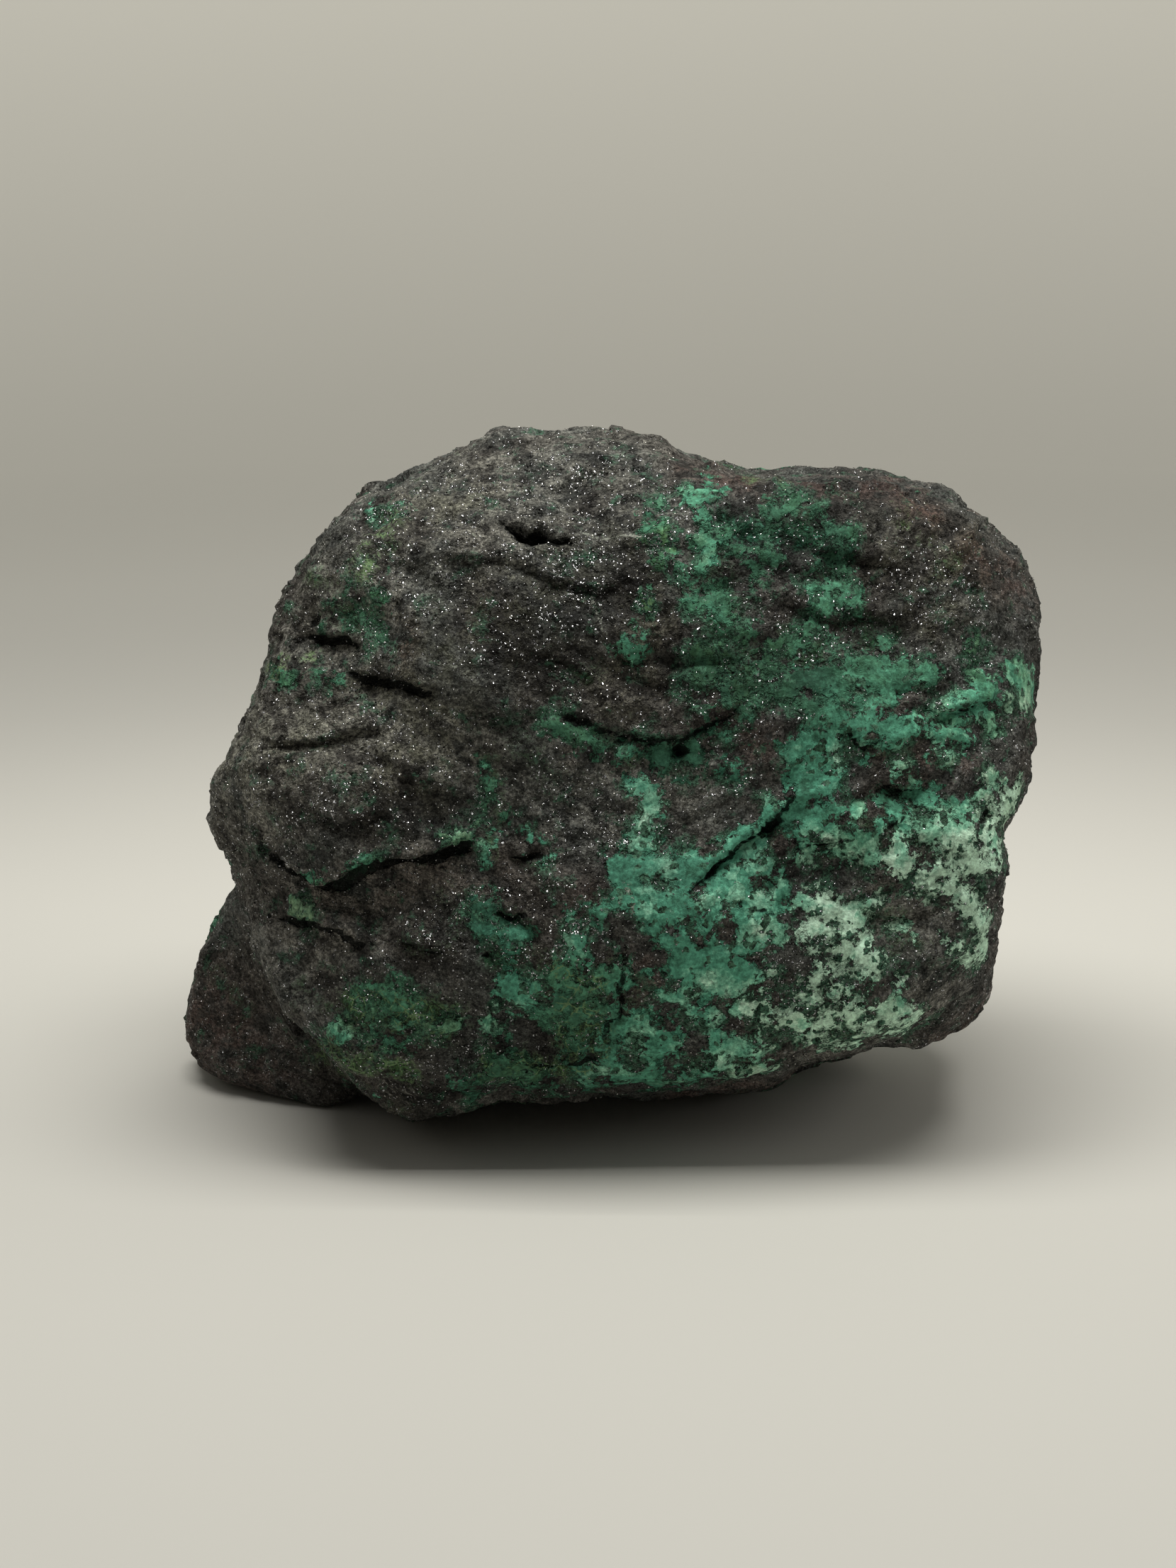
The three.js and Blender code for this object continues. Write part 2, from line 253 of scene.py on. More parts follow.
# Crust patches on the face map, in millimetres: how pale (-1 deep teal, 0 teal, 1 cream),
# how yellow, how full (0 frayed, 3 solid), half width, and the line that each one follows.
CRUST = [
    # lower middle: the broad smooth field, its lip and the pale crust beside it
    (0.0, 0.0, 4, 3.0, [(2, -19), (6, -18.5), (14, -18.5), (20, -18.5), (25, -16), (29, -12.5)]),
    (0.0, 0.0, 4, 1.5, [(29, -11.5), (31, -10), (34, -8.5), (37, -5.5), (39, -2)]),
    (0.0, 0.0, 4, 4.0, [(4, -23), (8, -27), (16, -26), (24, -23), (31, -20), (34, -24), (31, -27)]),
    (0.0, 0.0, 4, 4.0, [(11, -31), (14, -34), (20, -36), (22, -31), (28, -31)]),
    (0.0, 0.0, 4, 4.0, [(16, -39), (21, -42), (26, -41), (22, -36)]),
    (0.1, 0.0, 3, 2.2, [(26, -36), (31, -34), (34, -32)]),
    (0.5, 0.0, 3, 2.6, [(26, -46), (28, -48), (25, -44)]),
    (0.5, 0.0, 1, 1.3, [(26, -43), (30, -42), (33, -42)]),
    (0.2, 0.0, 1.2, 2.2, [(14, -45), (17, -48), (21, -50), (22, -54), (22, -60)]),
    (0.3, 0.1, 1.2, 1.9, [(25, -56), (30, -57.5)]),
    (0.6, 0.5, 0.9, 1.7, [(26, -63), (30, -62.5), (35, -62), (33, -65)]),
    (0.1, 0.1, 1.5, 2.5, [(0, -52), (4, -51), (9, -52), (12, -54)]),
    (0.0, 0.1, 0.9, 2.0, [(1, -56), (8, -57), (13, -55)]),
    (-0.1, 0.2, 1.2, 2.4, [(-2, -60), (2, -63), (8, -62), (10, -65.5)]),
    (0.1, 0.2, 0.8, 1.4, [(13, -65), (17, -63), (20, -62)]),
    (0.0, 0.1, 0.9, 1.6, [(1, -39), (2, -44), (1.5, -48)]),
    (0.2, 0.0, 0.5, 1.5, [(10, -42), (13, -46), (16, -44)]),
    # the disc and the patch under it
    (0.3, 0.0, 4, 2.6, [(6, -1.2), (9, -1.8), (8.2, -4.6)]),
    (0.2, 0.0, 2, 1.8, [(6.3, -9.8), (6, -12), (8.2, -13.4), (5.5, -14)]),
    # right of the lip
    (0.0, 0.1, 2.2, 3.0, [(38, -6), (42, -8), (47, -6.5)]),
    (0.2, 0.2, 2.0, 2.6, [(44, -11), (48, -12), (46, -9)]),
    (0.4, 0.5, 1.6, 1.3, [(51, -7), (52, -5.5)]),
    (0.1, 0.2, 1.6, 2.3, [(50, -13), (55, -12), (56, -10)]),
    (0.1, 0.1, 0.8, 1.4, [(54, -16.5), (57, -17)]),
    (0.2, 0.2, 0.0, 1.6, [(40, -16), (47, -17)]),
    (0.0, 0.0, 3, 2.7, [(38, 6), (41, 8), (43, 5), (41, 1), (40, -4)]),
    (0.0, 0.0, 3, 2.4, [(46, 9), (45, 5), (46, 2), (44, -2)]),
    (0.1, 0.0, 1.2, 2.2, [(50, 9), (54, 7), (59, 8.5)]),
    (0.6, 0.5, 0.7, 1.0, [(60, 4), (62, 2.5)]),
    (0.6, 0.4, 0.3, 1.2, [(68.2, 6.6), (69.5, 5)]),
    # upper right: the band, the diagonal crest and the right edge
    (0.1, 0.0, 2.5, 2.6, [(37, 21), (44, 20.5), (50, 22), (57, 21.5), (64, 23), (66, 22)]),
    (0.1, 0.0, 1.0, 1.8, [(50, 24.5), (57, 25.5), (57, 29)]),
    (0.1, 0.0, 0.8, 1.7, [(62, 26), (60, 24)]),
    (-0.4, 0.1, 1.0, 2.0, [(36, 18), (40, 16.5), (44, 15), (42, 13.5)]),
    (0.1, 0.0, 1.3, 2.3, [(46, 18), (50, 15), (54, 16), (58, 17)]),
    (0.1, 0.0, 1.7, 3.0, [(47, 14), (50, 11), (54, 12), (58, 12), (62, 11.5)]),
    (0.5, 0.1, 3, 1.4, [(60, 12.5), (66, 13.5), (71, 15.5), (76, 18), (80, 19.5)]),
    (0.4, 0.2, 0.7, 1.5, [(62, 11), (68, 10.5), (72, 9.8), (75, 8.6)]),
    (0.4, 0.4, 0.6, 1.5, [(73, 13), (78, 14.5), (80, 12)]),
    (0.9, 0.3, 1.4, 2.4, [(82, 23), (86, 21.5), (87.5, 18), (84, 17.5)]),
    (0.5, 0.5, -0.5, 1.9, [(76, 28.5), (80, 26.5)]),
    (0.5, 0.5, 0.5, 1.1, [(77.3, 23), (77.8, 20)]),
    # top middle
    (0.5, 0.1, 1.6, 1.5, [(15, 60.5), (20, 61)]),
    (0.5, 0.1, 1.5, 1.1, [(9.6, 57.6), (10.4, 58.2)]),
    (0.5, 0.0, 1.6, 2.1, [(15.5, 58.3), (19, 58.5), (18.6, 54.6)]),
    (0.4, 0.2, 0.8, 0.9, [(7.5, 55.6), (9, 54.8)]),
    (0.5, 0.9, 0.5, 2.3, [(8, 52), (11, 50), (10, 46.5)]),
    (0.7, 0.2, 1.5, 1.8, [(17, 50.5), (20, 49), (19.5, 46.5), (20.5, 45), (16, 44.2)]),
    (0.5, 0.3, 1.0, 1.0, [(21, 50), (24, 51), (24, 52.5)]),
    (0.1, 0.1, 0.6, 2.1, [(33, 57), (36, 59), (38, 60.5)]),
    (0.1, 0.1, 0.2, 1.6, [(43, 56), (47, 53), (49, 51)]),
    (0.4, 0.2, 0.4, 1.4, [(31.5, 48.5), (33.5, 46.5)]),
    (0.3, 0.2, 0.3, 1.3, [(30.6, 44.5), (30.3, 41)]),
    (0.3, 0.1, 1.0, 1.2, [(43.5, 47.3), (43.5, 45)]),
    (0.1, 0.0, 2.0, 1.9, [(42, 41.5), (45, 41), (48, 41), (51, 39.5)]),
    (0.2, 0.0, 2.0, 2.0, [(43, 38), (47, 38.8), (51, 37.5)]),
    (0.2, 0.1, 1.5, 1.3, [(42.5, 36), (44, 35)]),
    (0.2, 0.1, 1.0, 1.3, [(45, 34), (42, 32), (40, 30), (38, 27)]),
    (0.1, 0.1, 0.4, 2.3, [(21, 41), (22, 37), (22.5, 33.5)]),
    (0.2, 0.1, 0.2, 1.6, [(16, 40), (17, 37)]),
    (0.7, 0.9, 0.7, 0.7, [(7.6, 39.5), (7.4, 36)]),
    (0.9, 0.3, 1.8, 1.9, [(6, 31.5), (5, 29), (4, 26.5)]),
    (0.3, 0.2, 1.4, 1.4, [(2.4, 29.4), (2.5, 27.6)]),
    (0.3, 0.3, 0.8, 0.9, [(28, 30.5), (30, 30.8)]),
    (-0.4, 0.1, 0.3, 2.0, [(33, 28), (33, 24), (34, 20)]),
    (-0.5, 0.3, -0.6, 2.6, [(19, 25), (24, 22), (27, 20)]),
    # middle: along the long crack, the pocket and the left green
    (0.1, 0.0, 2.0, 1.4, [(21, 11), (24, 12.5), (28, 14.8)]),
    (-0.9, 0.0, 2.2, 2.3, [(10, 7.5), (11, 3), (16, 4), (16.5, 8)]),
    (-0.3, 0.0, 1.6, 1.3, [(24.6, 2.8), (25.6, 2.2)]),
    (-0.1, 0.1, 1.6, 1.7, [(2.6, 6), (5, 7.6)]),
    (-0.8, 0.2, 1.0, 1.4, [(-12.8, 12), (-10, 11.4), (-8, 9.5), (-6.4, 8.4)]),
    (-0.2, 0.2, 0.6, 1.2, [(-4.8, 8.4), (-3.4, 7)]),
    (-0.1, 0.4, 1.5, 1.0, [(-27.4, 2.6), (-27, -1.5), (-26, -4.5), (-24, -7)]),
    (0.4, 0.8, 1.2, 0.9, [(-33, -12.2), (-31, -11.3), (-28.6, -11)]),
    (0.1, 0.2, 1.3, 1.0, [(-27.6, -13.4), (-27, -17)]),
    (0.1, 0.0, 1.3, 1.1, [(-17.5, -12.4), (-15, -13), (-13.6, -15), (-13.4, -16.6)]),
    (-0.5, 0.0, 1.0, 2.8, [(-28, -27.6), (-27, -31), (-23, -32.5), (-21, -34)]),
    (0.1, 0.0, 1.4, 1.8, [(-9, -29.5), (-8, -33), (-7, -37), (-6, -39)]),
    (-0.2, 0.1, 1.2, 1.8, [(-3, -28), (0, -25), (3, -24)]),
    (0.1, 0.0, 1.8, 2.8, [(-22, -44), (-20, -46), (-17, -45.5)]),
    (0.1, 0.0, 0.8, 1.1, [(-25, -49), (-22, -49)]),
    (-0.2, 0.5, 0.6, 3.2, [(-11, -41.5), (-6, -41), (-2, -43)]),
    (-0.6, 0.3, 0.4, 4.0, [(-12, -48.5), (-6, -47), (-2, -50), (-6, -53)]),
    (-0.4, 0.4, -0.2, 3.0, [(-51, -47), (-46, -46)]),
    (0.4, 0.8, 0.6, 1.5, [(-53, -50), (-48, -53), (-42, -51), (-38, -52), (-34, -53)]),
    (0.4, 0.8, 0.2, 1.3, [(-59, -54), (-56, -54.6), (-53, -56)]),
    (0.5, 0.6, 1.0, 0.6, [(-26.6, -50), (-27, -53), (-26, -55.6), (-25, -58.4), (-22, -58.4)]),
    (-0.9, 0.5, 0.8, 2.5, [(-24, -61.6), (-20, -61), (-16, -63)]),
    (-0.1, 0.3, 0.9, 1.5, [(-18, -66.6), (-14, -67.2)]),
    (0.1, 0.0, 1.4, 1.8, [(-3, -56.5), (0, -58.4), (-2, -61)]),
    (-0.4, 0.2, 0.3, 2.2, [(-33, -66), (-29, -68)]),
    # right side, pale
    (-0.3, 0.1, 1.2, 2.2, [(57, -4.4), (61, -7), (65, -8)]),
    (0.8, 0.1, 2.4, 2.3, [(60.6, -11), (61, -16), (61, -20), (64, -13)]),
    (0.9, 0.3, 1.5, 3.2, [(68, -9.5), (73, -8.6), (78, -12), (77, -17), (72, -13.4)]),
    (0.9, 0.3, 1.1, 1.7, [(66, -19.4), (72, -19.4), (77, -18)]),
    (0.9, 0.1, 2.0, 2.0, [(57.6, -20), (62, -19)]),
    (0.7, 0.2, 1.9, 1.7, [(64, -21.4), (68, -23), (73, -22.6), (75.6, -26), (77.6, -31),
                          (78.6, -35)]),
    (0.6, 0.2, 1.0, 1.3, [(72.6, -35), (76, -37.6), (79, -38)]),
    (1.0, 0.4, 4, 2.1, [(80.4, -8), (83, -6), (85, -3)]),
    (0.7, 0.4, 0.9, 1.2, [(79.4, 1.6), (78.5, -1.5), (77.5, -3.5)]),
    (0.6, 0.1, 1.2, 2.0, [(40, -26.6), (44, -27), (48, -28.8), (51, -30)]),
    (0.9, 0.2, 2.2, 2.6, [(42, -31.4), (46, -32), (50, -33)]),
    (0.7, 0.1, 1.4, 1.9, [(41.4, -35), (43, -38), (43, -42.4)]),
    (0.7, 0.2, 1.3, 2.0, [(49, -36), (53, -36), (55, -39)]),
    (0.7, 0.2, 0.8, 2.2, [(47, -41), (48, -45), (50, -47)]),
    (0.3, 0.1, 0.5, 1.2, [(55.6, -26.5), (53, -27)]),
    (0.6, 0.2, 1.0, 1.0, [(56, -40), (59, -42.5), (62, -43.8)]),
    (0.6, 0.3, 0.9, 2.4, [(33, -49.5), (40, -50), (45, -51), (50, -50), (56, -49), (63, -51)]),
    (0.5, 0.3, 0.6, 1.4, [(42, -54), (46, -55), (52, -54.4)]),
    (0.6, 0.3, 1.3, 1.8, [(57, -54), (61, -54)]),
    (0.5, 0.4, 1.0, 1.5, [(60, -47), (62, -48.5)]),
    (0.4, 0.3, 0.6, 0.8, [(60.4, -31), (63, -32.5)]),
    (0.4, 0.1, 0.3, 0.9, [(37.5, -42), (37, -46), (39, -47.5)]),
    (-0.3, 0.1, 1.0, 2.4, [(63, -4), (68, -5), (72, -6)]),
    (0.4, 0.2, 0.8, 2.6, [(66, -13), (70, -17), (66, -21)]),
    (0.3, 0.1, 0.8, 2.4, [(45, -35), (49, -38), (52, -43)]),
    (0.3, 0.1, 1.2, 2.4, [(34, -43), (38, -46), (42, -46.5)]),
    (0.1, 0.0, 3.0, 2.2, [(33.5, -6), (37, -9), (40, -12)]),
    (-0.7, 0.2, 0.2, 2.6, [(17, 21), (23, 21), (26, 17), (22, 15)]),
    (0.2, 0.2, 0.9, 1.8, [(25, 48.5), (28, 48)]),
    (0.1, 0.1, 0.8, 2.0, [(46, 49), (48, 45)]),
    (0.4, 0.2, 0.9, 1.4, [(12.5, 46), (15, 42.5)]),
    (-0.1, 0.1, 0.9, 2.0, [(-8, -60), (-5, -64), (-4, -66)]),
    (0.0, 0.6, 0.2, 1.8, [(-50, -53), (-44, -55)]),
    (0.0, 0.1, 0.9, 1.6, [(30.5, 41.5), (33, 43)]),
    # upper left
    (0.9, 0.1, 1.0, 1.6, [(-51, 57), (-48, 57.8), (-45.5, 57)]),
    (-0.9, 0.2, -1.7, 3.0, [(-58, 36.6), (-55, 35), (-59, 33.5), (-54, 32.6)]),
    (-0.6, 0.5, -1.8, 1.9, [(-56, 40), (-54, 43.5), (-52, 45.5)]),
    (0.0, 0.5, 0.7, 0.9, [(-50.4, 38), (-51, 35)]),
    (0.2, 0.6, 1.0, 0.9, [(-71, 23), (-69.6, 21)]),
    (0.1, 0.5, 1.2, 0.5, [(-63.5, 22.5), (-59, 20.8)]),
    (0.6, 0.9, 1.0, 1.5, [(-66.8, -26), (-64.4, -28)]),
    (0.2, 0.9, 0.9, 0.7, [(-54, -17.5), (-51.4, -16.6)]),
    (0.1, 0.8, 0.8, 0.5, [(-62, -20.4), (-59, -20.2)]),
]

# Rock that stands bare inside the crust: half width and line.
BARE = [
    (1.2, [(12.5, -23), (17, -23)]),
    (1.3, [(24, -26), (23, -29.5), (24, -33.5)]),
    (1.2, [(17, -32), (18.5, -35)]),
    (0.7, [(11.5, -32.3), (14, -31)]),
    (1.2, [(31.5, -21.6), (33, -22.4)]),
    (2.8, [(7.4, -37), (9, -41), (7, -45), (9, -48)]),
    (1.8, [(36.6, -26), (39.5, -29), (38, -32)]),
    (2.5, [(32, -39), (37, -36), (40, -39), (37, -42), (32.6, -45), (36, -47)]),
    (1.6, [(36.4, -15), (35.4, -18)]),
    (1.6, [(15, -51.6), (17.5, -52)]),
    (1.6, [(27, -51), (30, -53), (35, -55)]),
    (1.4, [(45, -37), (46.5, -38.6)]),
    (1.3, [(50, -41.5), (53, -44)]),
    (1.6, [(66, -14), (67.5, -16.5)]),
    (1.0, [(63.6, -11), (63.4, -12.6)]),
    (0.8, [(46.4, 37), (47.2, 36.4)]),
    (0.9, [(-2, -47), (-3.6, -45)]),
    (1.6, [(12, 1.2), (15, 1.8)]),
]

# Stains that have soaked into the bare rock: strength, yellowness, half width, line.
STAINS = [
    (0.95, 0.0, 5.0, [(24, 53), (36, 52.5), (44, 52), (49, 49)]),
    (0.8, 0.1, 4.0, [(34, 56), (42, 55)]),
    (0.8, 0.1, 6.0, [(20, 44), (24, 36), (20, 30)]),
    (0.8, 0.15, 6.0, [(19, 24), (28, 20), (35, 28), (42, 27)]),
    (0.7, 0.1, 5.0, [(45, 44), (54, 32), (60, 28)]),
    (0.6, 0.2, 4.0, [(-20, 8), (-17, 5), (-14, 1)]),
    (0.5, 0.3, 4.0, [(-10, 11), (-2, 9), (4, 6)]),
    (0.5, 0.3, 3.0, [(-27, 5), (-25, -6), (-27, -16)]),
    (0.6, 0.1, 3.5, [(-19, -17), (-15, -18)]),
    (0.9, 0.1, 5.0, [(-27, -30), (-21, -35), (-24, -38)]),
    (0.5, 0.2, 3.0, [(-45, -34), (-38, -37), (-35, -33)]),
    (0.5, 0.2, 3.0, [(-38, -26), (-34, -28)]),
    (0.9, 0.4, 6.0, [(-12, -42), (-4, -44), (-10, -52), (-2, -56)]),
    (0.9, 0.35, 5.5, [(-54, -48), (-44, -49), (-36, -51)]),
    (0.7, 0.5, 4.0, [(-60, -58), (-52, -60), (-44, -64)]),
    (0.8, 0.4, 4.5, [(-26, -62), (-16, -62), (-6, -62)]),
    (0.6, 0.1, 5.0, [(2, -44), (4, -56), (16, -60), (26, -60)]),
    (0.5, 0.2, 3.0, [(-67, -44), (-61, -49)]),
    (0.45, 0.1, 3.5, [(-84, -42), (-80, -46), (-77, -48)]),
    (0.6, 0.3, 3.5, [(-66, 45), (-63, 41)]),
    (0.85, 0.15, 5.0, [(-59, 36), (-54, 34)]),
    (0.5, 0.6, 4.0, [(-55, 42), (-51, 48), (-48, 54)]),
    (0.4, 0.3, 2.0, [(-43, 63.5), (-41, 63.5)]),
    (0.5, 0.9, 3.0, [(-72, 24), (-66, 26)]),
    (0.4, 0.2, 3.0, [(-9, 22), (-4, 22)]),
    (0.5, 0.3, 6.0, [(40, -52), (56, -52)]),
    (0.6, 0.2, 5.0, [(44, -14), (58, -10), (70, -12)]),
    (0.5, 0.3, 5.0, [(46, 6), (60, 10), (74, 13)]),
    (0.5, 0.5, 4.0, [(62, 53), (66, 50)]),
    (0.4, 0.3, 4.0, [(68, 46), (73, 46)]),
    (0.4, 0.6, 4.0, [(30, 63.5), (34, 62)]),
    (0.5, 0.3, 3.0, [(59, -28), (64, -34), (58, -36)]),
]

# A faint moss-green cast, and a rusty red-brown one: strength, half width, line.
MOSS = [
    (0.6, 12, [(-50, 20), (-30, 30), (-10, 40)]),
    (0.7, 9, [(-44, 2), (-38, 12)]),
    (0.6, 8, [(-76, 2), (-64, 8)]),
    (0.6, 8, [(66, 36), (76, 50)]),
    (0.5, 8, [(0, 20), (10, 34), (2, 48)]),
    (0.6, 6, [(-42, 56), (-30, 60)]),
    (0.5, 7, [(58, 50), (66, 54)]),
]
RUST = [
    (0.8, 3.5, [(15, 65.6), (22, 65), (28, 61.6)]),
    (0.9, 3.5, [(41, 62), (50, 62.4), (58, 63), (63, 59), (67, 56)]),
    (0.8, 5.5, [(77, 48), (84, 44), (88, 40)]),
    (0.6, 2.0, [(38, 57), (40, 56)]),
    (0.7, 10, [(-86, -50), (-80, -58), (-74, -60)]),
    (0.6, 4.0, [(6, -38), (8, -46)]),
    (0.6, 3.0, [(36, -13), (34, -17)]),
    (0.5, 8, [(-60, -26), (-44, -22), (-30, -20)]),
    (0.6, 5, [(26, 12), (32, 8), (30, 3)]),
    (0.6, 4, [(60, 4), (66, 3), (74, 3)]),
    (0.6, 3.5, [(-44, 27), (-44, 30)]),
    (0.6, 3, [(-8, 6), (-2, 6)]),
    (0.4, 3, [(-7, -25), (-5, -24)]),
]

# Ledges, listed left to right, with the upper side standing proud: rise of the upper side,
# drop of the lower side, how far both fade out, half width of the gap under it, and the line.
LEDGES = [
    (0.9, 2.6, 2.6, 0.9, [(-25.4, 55.6), (-21.4, 54), (-17, 53.4), (-13.4, 51.6), (-7.6, 51.2)]),
    (2.8, 2.4, 8.0, 1.4, [(-73, -13.6), (-71, -15.8), (-65.8, -18.4), (-61.8, -20.9),
                          (-57.8, -20.9), (-54.5, -18.5), (-50.5, -16.8), (-45.7, -16.2),
                          (-39.5, -15.6), (-33.8, -13.7), (-29, -11.6)]),
    (0.9, 2.2, 3.5, 1.0, [(-24.4, -14.6), (-19, -15.2), (-14.6, -14.4)]),
    (0.7, 1.8, 3.0, 0.6, [(-25.6, -27), (-22.2, -28.5), (-17, -28)]),
    (1.0, 2.0, 5.0, 1.0, [(-72, -29), (-64.2, -29.7), (-57.8, -31.5), (-53.7, -33.8), (-50, -34.6)]),
    (1.0, 2.0, 4.0, 0.3, [(-47, -34.6), (-41, -35.8), (-35.6, -36.4)]),
    (0.9, 2.2, 4.0, 1.1, [(-69, 31), (-62.7, 30.9), (-57, 30.3), (-53, 26.3)]),
    (0.9, 2.4, 6.0, 1.2, [(-57.6, 23), (-49, 22), (-43.4, 20.9), (-35, 18.4)]),
    (1.0, 1.8, 6.0, 0.0, [(-34, 18), (-24, 14), (-14, 14)]),
    (0.6, 1.3, 3.5, 0.45, [(-13.4, 14.4), (-5.7, 12.7), (1.9, 10.3), (7.5, 9.1), (15.1, 9.1),
                          (17.1, 10.7), (22.3, 13.9), (27.4, 16.6)]),
    (1.0, 2.2, 4.0, 0.7, [(16.4, -23), (19.5, -19.8), (24.7, -14.6), (30.4, -10.2), (33.2, -8.2),
                           (36, -5.4), (38.6, -1)]),
    (0.6, 1.3, 3.0, 0.3, [(46, 12), (50, 8.7), (52.9, 6.7), (57.8, 9)]),
    (1.2, 2.6, 4.0, 0.2, [(54, -1), (60, -2), (68, -1)]),
    (0.5, 1.1, 2.5, 0.3, [(37.4, -12.4), (45.2, -13.6), (49.4, -11.2)]),
    (0.5, 1.1, 2.5, 0.3, [(56.6, -10.6), (60.5, -8.2), (63.4, -5.4)]),
    (0.5, 1.0, 2.0, 0.3, [(29, -26.8), (34, -27.9)]),
    (0.7, 2.0, 3.0, 0.9, [(-17.6, -59.4), (-13.4, -60.6), (-9.3, -60.2), (-3.2, -58)]),
    (0.8, 1.5, 3.0, 0.0, [(62, 16), (71, 15), (78, 16.8), (84, 17)]),
    (0.7, 1.4, 4.0, 0.0, [(26, -60), (34, -59.4), (44, -55.6)]),
    (0.6, 1.4, 7.0, 0.0, [(-36, 48), (-20, 46), (-12, 42), (2, 40)]),
    (0.7, 1.5, 6.0, 0.0, [(40, 49), (50, 47), (62, 47)]),
    (0.5, 1.0, 6.0, 0.0, [(-48, 44), (-38, 47), (-26, 47)]),
    (0.9, 1.8, 6.0, 0.0, [(-72, 6), (-60, 8), (-48, 12)]),
    (0.7, 1.4, 5.0, 0.0, [(-66, -5), (-54, -8), (-44, -6)]),
    (0.8, 1.6, 5.0, 0.0, [(34, 41), (44, 34), (54, 36), (64, 33)]),
    (0.7, 1.4, 5.0, 0.0, [(-40, -47), (-30, -50), (-20, -48)]),
    (0.7, 1.5, 5.0, 0.0, [(52, -26), (60, -29), (72, -27)]),
]

# Cracks and pits: depth, half width, line.
CRACKS = [
    (3.5, 1.2, [(-22.6, 53.9), (-19, 52.2), (-14.6, 51.4)]),
    (2.0, 0.9, [(-36.6, 61), (-35, 61.2)]),
    (2.0, 0.9, [(-66.4, 31.6), (-64, 35.6)]),
    (2.6, 0.9, [(-31, -12.8), (-29, -13)]),
    (1.6, 0.7, [(-28.4, -36.2), (-25.4, -37.7)]),
    (1.0, 0.45, [(-2.1, -54), (-1.8, -51.2), (1.5, -50.1), (1, -43), (2.9, -38)]),
    (4.0, 1.6, [(12.4, 7.4), (15.8, 6.2)]),
    (2.6, 1.3, [(30.6, -10.4), (36.4, -8.4)]),
    (2.0, 0.8, [(78.4, -6), (78, -9)]),
    (1.5, 0.8, [(19.8, -20.4), (24.6, -16)]),
    (1.5, 0.8, [(-47, 37), (-45, 36)]),
]

# Where polished grains crowd: strength, half width, line.
SPARKLING = [
    (1.0, 14, [(-46, 52), (-30, 60), (-10, 60), (4, 54)]),
    (0.8, 12, [(-34, 44), (-10, 40)]),
    (0.7, 12, [(-66, -6), (-52, 8), (-50, 22)]),
    (0.7, 10, [(-30, -30), (-8, -34)]),
    (0.7, 9, [(54, 36), (68, 42)]),
    (0.9, 5, [(33, -36), (40, -44)]),
    (0.7, 7, [(-8, -6), (2, -10)]),
    (0.5, 8, [(-40, -60), (-20, -66)]),
]
# Dust and painted light: where the rock is dusted paler grey, and where lit facets are painted paler
# as light: strength, half width, line.
DUST_AND_LIGHT = [
    (0.7, 12, [(-44, 58), (-26, 64), (-4, 64), (6, 60)]),
    (0.6, 10, [(-50, 50), (-36, 52), (-10, 46)]),
    (0.6, 9, [(-60, 14), (-50, 6)]),
    (1.0, 8, [(-72, 26), (-60, 30), (-60, 42), (-50, 38)]),
    (1.0, 10, [(-78, 6), (-64, 10), (-44, 12), (-34, 6)]),
    (0.7, 9, [(-8, 4), (8, 2), (14, -2)]),
    (1.0, 8, [(46, -60), (58, -56), (68, -46)]),
    (1.0, 9, [(-52, -24), (-36, -22)]),
    (1.0, 9, [(-62, -26), (-50, -26), (-42, -20)]),
    (1.0, 8, [(-80, 2), (-72, -10)]),
    (1.0, 8, [(-54, -30), (-66, -36)]),
    (0.4, 6, [(56, 50), (66, 50)]),
    (0.7, 8, [(58, -28), (72, -30)]),
    (0.5, 8, [(-20, -4), (0, -9)]),
    (0.5, 6, [(2, 50), (8, 54)]),
]

# Painted shade: where the face lies in shade, its bottom edge among them, rock and crust are painted
# darker: strength, half width, line.
PAINTED_SHADE = [
    (0.12, 9, [(-28, 14), (-10, 16), (6, 20)]),
    (0.70, 10, [(4, 42), (-8, 38), (-24, 30), (-14, 24)]),
    (0.65, 8, [(-40, -31), (-26, -30)]),
    (0.40, 8, [(-4, 60), (8, 58)]),
    (0.66, 9, [(28, 51), (44, 49)]),
    (0.45, 7, [(40, 60), (54, 58)]),
    (0.78, 7, [(16, 21), (42, 20)]),
    (0.45, 8, [(-52, -50), (-34, -58), (-24, -70)]),
    (0.80, 7, [(-50, -72), (-24, -71), (0, -72), (30, -70)]),
    (0.35, 6, [(36, -18), (46, -22)]),
    (0.35, 6, [(-46, 52), (-60, 50)]),
    (0.35, 6, [(-14, 48), (-4, 50)]),
    (0.30, 7, [(-38, 30), (-28, 31)]),
    (0.20, 12, [(-40, -2), (-20, -2), (4, -4)]),
    (0.60, 6, [(-2, -20), (14, -20)]),
    (0.60, 8, [(-22, -60), (-8, -60)]),
    (0.30, 7, [(-12, -48), (-4, -50)]),
    (0.30, 6, [(-72, 20), (-60, 20)]),
    (0.38, 7, [(-52, -10), (-40, -8), (-32, 0)]),
    (0.32, 6, [(-62, -42), (-48, -41)]),
    (0.35, 6, [(58, 42), (62, 38)]),
    (0.25, 6, [(38, 32), (50, 30)]),
]

# Thin pale scars and veins, as lines.
SCARS = [
    [(-4.6, 38.5), (-4.2, 35.4)],
    [(-3.4, 34.6), (-2.6, 32.8)],
    [(-2.4, 32), (-1.4, 31)],
    [(2.2, -21.5), (3.5, -24), (4, -28)],
    [(-7, 53), (-2, 52), (6, 51)],
    [(-36, 24), (-31, 22.6)],
]

